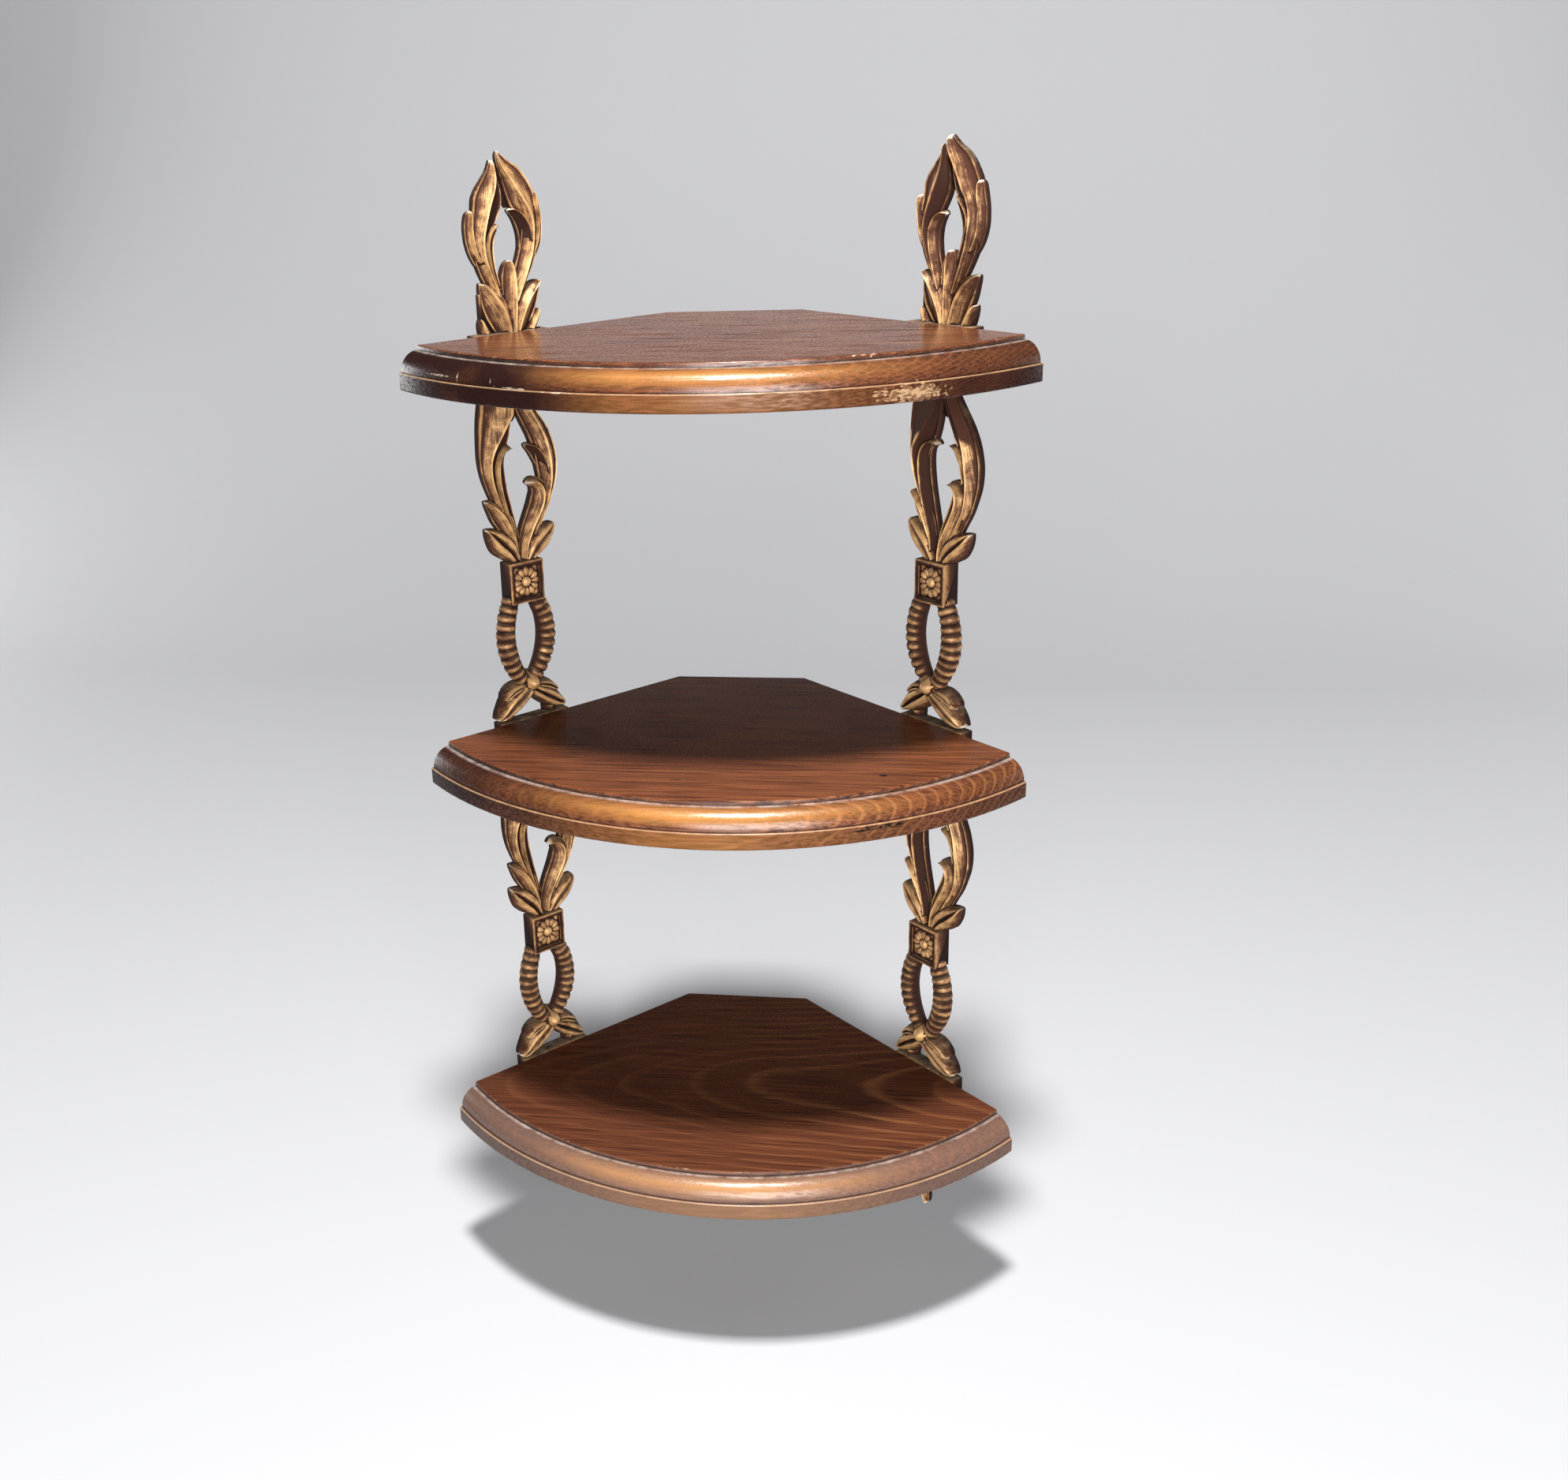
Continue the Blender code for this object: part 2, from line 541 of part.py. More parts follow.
def cut_bracket(casting, screw_hole, pin_hole, cutters):
    """Screw holes through the pads, and the hanger's recess with room behind for a wall screw's head."""
    half_width = HANGER_WIDTH / 2.0 + FIT
    half_height = HANGER_HEIGHT / 2.0 + FIT
    floor = HANGER_THICK + FIT
    recess = box("hanger_recess", (-half_width, -floor, -half_height),
                 (half_width, BRACKET_THICK, half_height), cutters)
    pocket_half = KEYHOLE_WIDTH / 2.0 + FIT
    pocket_reach = KEYHOLE_RISE / 2.0 + pocket_half
    pocket = box("head_pocket", (-pocket_half, -(floor + HEAD_POCKET_DEPTH), -pocket_reach),
                 (pocket_half, BRACKET_THICK, pocket_reach), cutters)
    holes = copies_at(screw_hole, screw_places(SHELF_LEVELS.values()), cutters)
    holes += copies_at(pin_hole, pin_places(), cutters)
    combine(casting, [as_cutter(recess), as_cutter(pocket)] + holes, "DIFFERENCE")


def make_board(cutters):
    """One board: a turned disc with the moulded edge, trimmed to the corner's plan."""
    rim = FRONT_RADIUS
    step_radius = rim - OVOLO_RADIUS - LEDGE_WIDTH
    profile = [(0.0, 0.0), (step_radius, 0.0)]
    for i in range(OVOLO_STEPS + 1):
        angle = math.radians(90.0) * i / OVOLO_STEPS
        out = step_radius + OVOLO_RADIUS * math.sin(angle)
        down = STEP_DEPTH + OVOLO_RADIUS * (1.0 - math.cos(angle))
        profile.append((out, -down))
    profile.append((rim, -STEP_DEPTH - OVOLO_RADIUS))
    profile.append((rim, -SHELF_THICK))
    profile.append((0.0, -SHELF_THICK))
    board = turned("board_disc", profile, BOARD_STEPS, cutters)
    board.data.transform(Matrix.Translation((0.0, FRONT_Y + rim, 0.0)))
    half_cut = CORNER_CUT / 2.0
    plan = [
        (half_cut, BACK_EDGE_Y),
        (-half_cut, BACK_EDGE_Y),
        (-SHELF_SPAN, BACK_MEET_Y - SHELF_SPAN),
        (SHELF_SPAN, BACK_MEET_Y - SHELF_SPAN),
    ]
    wedge = as_cutter(flat_outline("board_plan", plan, 2.0 * SHELF_THICK, cutters))
    wedge.location.z = -SHELF_THICK * 3.0 / 2.0
    combine(board, [wedge], "INTERSECT")
    return board


def make_hanger(pin_hole, cutters):
    """Flat plate with a keyhole, its outer face on the wall plane."""
    half_width = HANGER_WIDTH / 2.0
    half_height = HANGER_HEIGHT / 2.0
    plate = box("plate", (-half_width, -HANGER_THICK, -half_height), (half_width, 0.0, half_height), cutters)
    round_radius = KEYHOLE_WIDTH / 2.0
    slot_radius = KEYHOLE_SLOT / 2.0
    meet = math.asin(slot_radius / round_radius)
    outline = []
    for k in range(TURN_STEPS + 1):
        angle = math.radians(90.0) + meet + (math.tau - 2.0 * meet) * k / TURN_STEPS
        outline.append((round_radius * math.cos(angle), round_radius * math.sin(angle) - KEYHOLE_RISE / 2.0))
    for k in range(TURN_STEPS // 2 + 1):
        angle = math.pi * k / (TURN_STEPS // 2)
        outline.append((slot_radius * math.cos(angle), slot_radius * math.sin(angle) + KEYHOLE_RISE / 2.0))
    keyhole = as_cutter(flat_outline("keyhole", outline, 3.0 * HANGER_THICK, cutters))
    facing = Matrix.Rotation(math.radians(90.0), 4, "X")
    keyhole.data.transform(Matrix.Translation((0.0, HANGER_THICK, 0.0)) @ facing)
    combine(plate, [keyhole] + copies_at(pin_hole, pin_places(), cutters), "DIFFERENCE")
    return plate


def finished_mesh(thing, name, material):
    """Takes the mesh of a shape that is ready, gives it its material and removes the shape."""
    mesh = thing.data
    mesh.name = name
    mesh.materials.clear()
    mesh.materials.append(material)
    bpy.data.objects.remove(thing, do_unlink=True)
    return mesh


def build():
    clear_scene()
    parts = new_collection("corner_wall_shelf")
    cutters = new_collection("cutters")
    wood = new_material("stained_wood", (0.20, 0.085, 0.045), 0.38, 0.0)
    gold = new_material("antique_gold_casting", (0.32, 0.19, 0.10), 0.45, 0.35)
    screw_steel = new_material("screw_steel", (0.52, 0.50, 0.46), 0.35, 1.0)
    hanger_steel = new_material("hanger_steel", (0.60, 0.55, 0.42), 0.40, 1.0)

    screw_hole = countersunk_hole("screw_hole", SCREW_LENGTH, SCREW_HEAD, SCREW_SHANK, cutters)
    pin_hole = countersunk_hole("pin_hole", PIN_LENGTH, PIN_HEAD, PIN_SHANK, cutters)
    casting = make_casting(cutters)
    cut_bracket(casting, screw_hole, pin_hole, cutters)
    board = make_board(cutters)
    hanger = make_hanger(pin_hole, cutters)
    screw = countersunk("screw", SCREW_LENGTH, SCREW_HEAD, SCREW_SHANK, SCREW_POINT, cutters)
    pin = countersunk("pin", PIN_LENGTH, PIN_HEAD, PIN_SHANK, PIN_POINT, cutters)
    casting_mesh = finished_mesh(casting, "bracket_casting", gold)
    hanger_mesh = finished_mesh(hanger, "hanger_plate", hanger_steel)
    screw_mesh = finished_mesh(screw, "wood_screw", screw_steel)
    pin_mesh = finished_mesh(pin, "hanger_pin", hanger_steel)

    for side, sign in (("left", -1.0), ("right", 1.0)):
        bracket = add_object(side + "_bracket", casting_mesh, parts, location=(sign * HANG_X, 0.0, 0.0))
        bracket.rotation_euler.z = -sign * WALL_TURN
        combine(board, copies_at(screw_hole, screw_places([0.0]), cutters, bracket), "DIFFERENCE")
        for shelf, level in SHELF_LEVELS.items():
            for i, place in enumerate(screw_places([level])):
                add_object(f"{side}_{shelf}_screw_{i + 1}", screw_mesh, parts, bracket, place)
        add_object(side + "_hanger_plate", hanger_mesh, parts, bracket)
        for i, place in enumerate(pin_places()):
            add_object(f"{side}_hanger_pin_{i + 1}", pin_mesh, parts, bracket, place)

    board_mesh = finished_mesh(board, "corner_board", wood)
    for shelf, level in SHELF_LEVELS.items():
        add_object(shelf, board_mesh, parts, location=(0.0, 0.0, level))
    remove_all([screw_hole, pin_hole])


build()
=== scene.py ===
"""Looks of the three-tier corner wall shelf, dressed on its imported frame. Metres, +Z up, front to -Y."""
import json
import math

import bmesh
import bpy
from mathutils import Matrix, Vector

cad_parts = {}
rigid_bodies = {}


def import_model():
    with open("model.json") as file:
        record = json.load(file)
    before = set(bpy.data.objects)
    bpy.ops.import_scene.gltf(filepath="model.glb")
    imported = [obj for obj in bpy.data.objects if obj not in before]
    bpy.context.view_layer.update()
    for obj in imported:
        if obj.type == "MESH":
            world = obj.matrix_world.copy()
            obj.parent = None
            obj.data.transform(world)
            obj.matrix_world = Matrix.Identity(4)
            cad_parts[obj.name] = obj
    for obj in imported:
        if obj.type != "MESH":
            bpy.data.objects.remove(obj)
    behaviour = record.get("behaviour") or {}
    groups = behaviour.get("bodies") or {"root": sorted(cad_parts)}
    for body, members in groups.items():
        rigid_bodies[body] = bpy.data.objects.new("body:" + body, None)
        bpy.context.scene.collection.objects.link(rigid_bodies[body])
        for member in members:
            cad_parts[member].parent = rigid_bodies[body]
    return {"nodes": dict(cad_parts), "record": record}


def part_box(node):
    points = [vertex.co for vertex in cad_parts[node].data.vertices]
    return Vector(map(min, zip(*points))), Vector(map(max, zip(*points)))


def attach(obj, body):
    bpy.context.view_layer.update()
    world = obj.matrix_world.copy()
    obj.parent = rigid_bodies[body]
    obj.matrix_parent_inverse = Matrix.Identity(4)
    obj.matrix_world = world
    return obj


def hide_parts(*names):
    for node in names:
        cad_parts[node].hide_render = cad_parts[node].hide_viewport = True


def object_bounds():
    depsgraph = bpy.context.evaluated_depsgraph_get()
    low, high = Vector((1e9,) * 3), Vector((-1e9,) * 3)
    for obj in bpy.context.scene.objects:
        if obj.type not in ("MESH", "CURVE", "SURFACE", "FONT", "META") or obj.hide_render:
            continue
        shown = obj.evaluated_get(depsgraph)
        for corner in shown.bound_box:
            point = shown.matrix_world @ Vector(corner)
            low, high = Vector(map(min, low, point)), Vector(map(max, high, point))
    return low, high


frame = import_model()
cad_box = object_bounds()

# Boards
# Three boards sawn from 19 mm softwood to fit a room corner, their curved fronts run past a moulding
# cutter. They were stained walnut brown, darker in the hollows and at the ends, and varnished; the
# darkness at the ends of the fronts is partly painted shade, and mid-front there is a painted highlight.
MM = 0.001
BOARDS = ("top_shelf", "middle_shelf", "bottom_shelf")
STEP_DEPTH = 2.0 * MM
OVOLO_RADIUS = 9.0 * MM
LEDGE_WIDTH = 1.3 * MM
CORNER_CUT = 66.0 * MM
TOP_EASE = 0.6 * MM
LEDGE_EASE = 0.4 * MM
FOOT_EASE = 0.9 * MM
EASE_STEPS = 4
OVOLO_STEPS = 20
BOARD_COLUMNS = 180
WEAR_REACH = 0.9 * MM
WEAR_MARGIN = 2.2 * MM
POOL_REACH = 0.7 * MM
LEDGE_REACH = 0.55 * MM
LEDGE_MARGIN = 0.7 * MM
DUST_SHIFT = 1.2 * MM
DUST_REACH = 1.5 * MM
ROUND_REACH = 6.0 * MM
CAP_POINT = (0.0, 0.3, -14.0 * MM)
EDGE_MARKS = ("arris", "ledge", "pool", "dust", "round", "front", "fascia")
MERGE_REACH = 0.01 * MM
SMOOTH_ANGLE = math.radians(32.0)

scene = bpy.context.scene
board_low, board_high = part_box("top_shelf")
board_thick = board_high.z - board_low.z
half_span = board_high.x
wall_line = board_high.y + CORNER_CUT / 2.0
sagitta = wall_line - half_span - board_low.y
front_radius = (half_span ** 2 + sagitta ** 2) / (2.0 * sagitta)
front_centre_y = board_low.y + front_radius
wall_gap = (wall_line - front_centre_y) / math.sqrt(2.0)


def linear(code):
    """The linear colour of an sRGB hex code."""
    parts = [int(code[i:i + 2], 16) / 255.0 for i in (1, 3, 5)]
    return tuple(p / 12.92 if p <= 0.04045 else ((p + 0.055) / 1.055) ** 2.4 for p in parts) + (1.0,)


def add(tree, kind, inputs=None, take=0, **settings):
    """Adds a node, sets or links its inputs, and gives back the output that is taken from it."""
    made = tree.nodes.new(kind)
    for name, value in settings.items():
        setattr(made, name, value)
    for key, value in (inputs or {}).items():
        if isinstance(value, bpy.types.NodeSocket):
            tree.links.new(value, made.inputs[key])
        else:
            made.inputs[key].default_value = value
    return made.outputs[take] if made.outputs else made


def new_material(name):
    """An empty procedural material and its node tree."""
    material = bpy.data.materials.new(name)
    material.use_nodes = True
    material.node_tree.nodes.clear()
    return material, material.node_tree


def new_tree(name, sizes):
    """A geometry tree with a drawn mesh, a material and named sizes of a known kind as its inputs."""
    tree = bpy.data.node_groups.new(name, "GeometryNodeTree")
    for label, kind in {"Drawn": "Geometry", **sizes, "Material": "Material"}.items():
        tree.interface.new_socket(label, in_out="INPUT", socket_type="NodeSocket" + kind)
    tree.interface.new_socket("Made", in_out="OUTPUT", socket_type="NodeSocketGeometry")
    return tree, tree.nodes.new("NodeGroupInput").outputs


def end_tree(tree, geometry, material):
    """Closes a geometry tree: instances made real, and the material set."""
    real = add(tree, "GeometryNodeRealizeInstances", {0: geometry})
    painted = add(tree, "GeometryNodeSetMaterial", {"Geometry": real, "Material": material})
    add(tree, "NodeGroupOutput", {0: painted})


def plain_mesh(thing):
    """The object's finished shape as a plain mesh. The object itself goes."""
    graph = bpy.context.evaluated_depsgraph_get()
    mesh = bpy.data.meshes.new_from_object(thing.evaluated_get(graph))
    bpy.data.objects.remove(thing)
    return mesh


def grow(tree, drawn, sizes):
    """The mesh that a geometry tree makes from a drawn mesh and its sizes."""
    thing = bpy.data.objects.new(tree.name, drawn)
    scene.collection.objects.link(thing)
    modifier = thing.modifiers.new(tree.name, "NODES")
    modifier.node_group = tree
    for item in tree.interface.items_tree:
        if item.in_out == "INPUT" and item.name in sizes:
            modifier[item.identifier] = sizes[item.name]
    return plain_mesh(thing)


def face_outwards(mesh):
    """Turns a closed mesh's faces outwards."""
    bm = bmesh.new()
    bm.from_mesh(mesh)
    bmesh.ops.recalc_face_normals(bm, faces=bm.faces)
    bm.to_mesh(mesh)
    bm.free()


def show(name, mesh, slot, *nodes):
    """Puts a finished piece in the scene in place of its CAD nodes."""
    mesh.shade_smooth()
    mesh.set_sharp_from_angle(angle=SMOOTH_ANGLE)
    thing = bpy.data.objects.new(name, mesh)
    scene.collection.objects.link(thing)
    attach(thing, "root")
    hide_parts(*nodes)
    return thing


def quarter(centre, radius, steps, start):
    """Points of a quarter circle, turning from the start angle towards the outside and down."""
    angles = [start + math.pi / 2.0 * k / steps for k in range(steps + 1)]
    return [(centre[0] - radius * math.sin(a), centre[1] + radius * math.cos(a)) for a in angles]


def give(mesh, name, values):
    """Gives each point of a mesh a value, under a name that trees and materials read."""
    mesh.attributes.new(name, "FLOAT", "POINT").data.foreach_set("value", values)


def board_section():
    """The board's section: inward from the front, share of the way to the back, height."""
    step_in = LEDGE_WIDTH + OVOLO_RADIUS
    ledge_z = -STEP_DEPTH - OVOLO_RADIUS
    fascia_z = ledge_z - LEDGE_MARGIN
    front = quarter((step_in + TOP_EASE, -TOP_EASE), TOP_EASE, EASE_STEPS, 0.0)
    front += quarter((step_in, ledge_z), OVOLO_RADIUS, OVOLO_STEPS, 0.0)
    front += quarter((LEDGE_EASE, ledge_z - LEDGE_EASE), LEDGE_EASE, EASE_STEPS, 0.0)
    front += [(0.0, z) for z in (fascia_z, ledge_z - WEAR_MARGIN, WEAR_MARGIN - board_thick)]
    front += quarter((FOOT_EASE, FOOT_EASE - board_thick), FOOT_EASE, EASE_STEPS, math.pi / 2.0)
    front = [(step_in + WEAR_MARGIN, 0.0)] + front + [(WEAR_MARGIN, -board_thick)]
    points = [(0.0, 1.0, 0.0)] + [(inward, 0.0, z) for inward, z in front]
    points += [(0.0, 1.0, -board_thick), (0.0, 1.0, 0.0)]
    marks = {
        "arris": ([(step_in, 0.0), (0.0, -board_thick)], WEAR_REACH),
        "ledge": ([(0.0, ledge_z)], LEDGE_REACH),
        "pool": ([(step_in, -STEP_DEPTH), (LEDGE_WIDTH, ledge_z)], POOL_REACH),
        "dust": ([(step_in - DUST_SHIFT, -STEP_DEPTH)], DUST_REACH),
        "round": (quarter((step_in, ledge_z), OVOLO_RADIUS, 2, 0.0)[1:2], ROUND_REACH),
    }
    mesh = bpy.data.meshes.new("board_section")
    mesh.from_pydata(points, [(i, i + 1) for i in range(len(points) - 1)], [])
    for name, (corners, reach) in marks.items():
        values = []
        for inward, back, z in points:
            near = min(math.dist((inward, z), corner) for corner in corners)
            values.append(0.0 if back else max(0.0, 1.0 - near / reach))
        give(mesh, name, values)
    give(mesh, "front", [float(not back and inward <= step_in) for inward, back, z in points])
    give(mesh, "fascia", [float(not back and inward <= FOOT_EASE and z <= fascia_z)
                          for inward, back, z in points])
    return mesh


def board_tree():
    """A grid bent to the board: its rows follow the section, its columns fan out between the walls."""
    tree, given = new_tree("corner_board", {
        "Columns": "Int", "Front Radius": "Float", "Front Centre": "Float", "Wall Gap": "Float",
        "Back Half": "Float", "Back": "Float", "Cap Point": "Vector", "Top": "Float",
    })
    rows = add(tree, "GeometryNodeAttributeDomainSize", {0: given["Drawn"]})
    grid = add(tree, "GeometryNodeMeshGrid", {
        "Size X": 1.0, "Size Y": 1.0, "Vertices X": given["Columns"], "Vertices Y": rows})
    place = add(tree, "GeometryNodeInputPosition")
    across, along = (add(tree, "ShaderNodeSeparateXYZ", {0: place}, take=axis) for axis in "XY")
    last_row = add(tree, "ShaderNodeMath", {0: rows, 1: 1.0}, operation="SUBTRACT")
    raised = add(tree, "ShaderNodeMath", {0: along, 1: 0.5}, operation="ADD")
    row_share = add(tree, "ShaderNodeMath", {0: raised, 1: last_row}, operation="MULTIPLY")
    row = add(tree, "ShaderNodeMath", {0: row_share}, operation="ROUND")
    drawn = add(tree, "GeometryNodeSampleIndex", {
        "Geometry": given["Drawn"], "Value": place, "Index": row}, data_type="FLOAT_VECTOR")
    last_column = add(tree, "ShaderNodeMath", {0: given["Columns"], 1: 1.0}, operation="SUBTRACT")
    column = add(tree, "ShaderNodeMath", {0: 1.0, 1: last_column}, operation="DIVIDE")
    edge = add(tree, "ShaderNodeMath", {0: 0.5, 1: column}, operation="SUBTRACT")
    other_edge = add(tree, "ShaderNodeMath", {0: edge, 1: -1.0}, operation="MULTIPLY")
    side = add(tree, "ShaderNodeMapRange", {
        "Value": across, "From Min": other_edge, "From Max": edge, "To Min": -1.0, "To Max": 1.0})
    reach = add(tree, "ShaderNodeMath", {0: across}, operation="ABSOLUTE")
    half_column = add(tree, "ShaderNodeMath", {0: column, 1: 0.5, 2: edge}, operation="MULTIPLY_ADD")
    capped = add(tree, "ShaderNodeMath", {0: reach, 1: half_column}, operation="GREATER_THAN")
    drawn = add(tree, "ShaderNodeMix", {"Factor": capped, 4: drawn, 5: given["Cap Point"]}, take=1,
                data_type="VECTOR")
    inward, back_share, height = (
        add(tree, "ShaderNodeSeparateXYZ", {0: drawn}, take=axis) for axis in "XYZ")
    level = add(tree, "ShaderNodeMath", {0: height, 1: given["Top"]}, operation="ADD")
    radius = add(tree, "ShaderNodeMath", {0: given["Front Radius"], 1: inward}, operation="SUBTRACT")
    lean = add(tree, "ShaderNodeMath", {0: given["Wall Gap"], 1: radius}, operation="DIVIDE")
    leaned = add(tree, "ShaderNodeMath", {0: lean}, operation="ARCSINE")
    limit = add(tree, "ShaderNodeMath", {0: leaned, 1: math.pi / 4.0}, operation="ADD")
    turn = add(tree, "ShaderNodeMath", {0: side, 1: limit}, operation="MULTIPLY")
    sine = add(tree, "ShaderNodeMath", {0: turn}, operation="SINE")
    cosine = add(tree, "ShaderNodeMath", {0: turn}, operation="COSINE")
    front_x = add(tree, "ShaderNodeMath", {0: radius, 1: sine}, operation="MULTIPLY")
    forward = add(tree, "ShaderNodeMath", {0: radius, 1: cosine}, operation="MULTIPLY")
    front_y = add(tree, "ShaderNodeMath", {0: given["Front Centre"], 1: forward}, operation="SUBTRACT")
    back_x = add(tree, "ShaderNodeMath", {0: side, 1: given["Back Half"]}, operation="MULTIPLY")
    front = add(tree, "ShaderNodeCombineXYZ", {0: front_x, 1: front_y, 2: level})
    back = add(tree, "ShaderNodeCombineXYZ", {0: back_x, 1: given["Back"], 2: level})
    bent = add(tree, "ShaderNodeMix", {"Factor": back_share, 4: front, 5: back}, take=1,
               data_type="VECTOR")
    shape = grid
    for name in EDGE_MARKS:
        value = add(tree, "GeometryNodeInputNamedAttribute", {"Name": name}, data_type="FLOAT")
        carried = add(tree, "GeometryNodeSampleIndex", {
            "Geometry": given["Drawn"], "Value": value, "Index": row}, data_type="FLOAT")
        shape = add(tree, "GeometryNodeStoreNamedAttribute", {
            "Geometry": shape, "Name": name, "Value": carried}, data_type="FLOAT", domain="POINT")
    shape = add(tree, "GeometryNodeSetPosition", {"Geometry": shape, "Position": bent})
    shape = add(tree, "GeometryNodeMergeByDistance", {"Geometry": shape, "Distance": MERGE_REACH})
    end_tree(tree, shape, given["Material"])
    return tree


# Stained and varnished pine: growth rings run along the board and show as long lines on top and as
# bent bands on the moulding. The stain sits dark in the step and is rubbed through on the arrises.
# The middle of each moulded front is painted a lighter warm brown, a painted highlight for the glow
# of the lamps, and its ends darker, partly stain and partly painted shade, the left end most.
RING_SWAY, SWAY_LENGTH = 10.0 * MM, 120.0 * MM
FIBRE_LENGTH, FIBRE_WIDTH = 60.0 * MM, 1.0 * MM
FLECK_LENGTH, FLECK_WIDTH = 26.0 * MM, 1.4 * MM
BLOTCH_SIZE, CHIP_SIZE, SPECK_SIZE = 60.0 * MM, 6.0 * MM, 1.1 * MM
END_SHADE = (25.0 * MM, 125.0 * MM)
FIGURE_SIDE = (-30.0 * MM, 90.0 * MM)
# Where the front takes a painted highlight, the glow of the lamps: its middle span, and the fascia's
# share.
GLOW_SPAN = (15.0 * MM, 95.0 * MM)
FASCIA_STAIN, FASCIA_GLOW, FASCIA_SHEEN = 0.25, 0.4, -0.25
FLECK_GLOSS, FLECK_SHEEN, LEAST_SHEEN = 0.3, -0.5, 0.05
POOL_DEPTH, ARRIS_WEAR, MARK_FADE = 0.85, 0.3, 0.25
SPECK_RELIEF, RING_RELIEF, GOUGE_RELIEF = 0.3, 0.5, 12.0
BROWN_STAIN, DEEP_STAIN, RING_LINE = linear("#663a23"), linear("#3c2016"), linear("#99643c")
# The end colour on the next line darkens the front's ends: partly stain, partly painted shade.
FLECK_STAIN, END_STAIN_AND_SHADE, POOLED_STAIN = linear("#20100d"), linear("#1d0e0c"), linear("#160b09")
# The last colour on the next line is a painted highlight, the glow of the lamps on the front.
BARE_WOOD, GREY_DUST, PAINTED_GLOW_WOOD = linear("#d0a87e"), linear("#b3a49a"), linear("#ab7639")


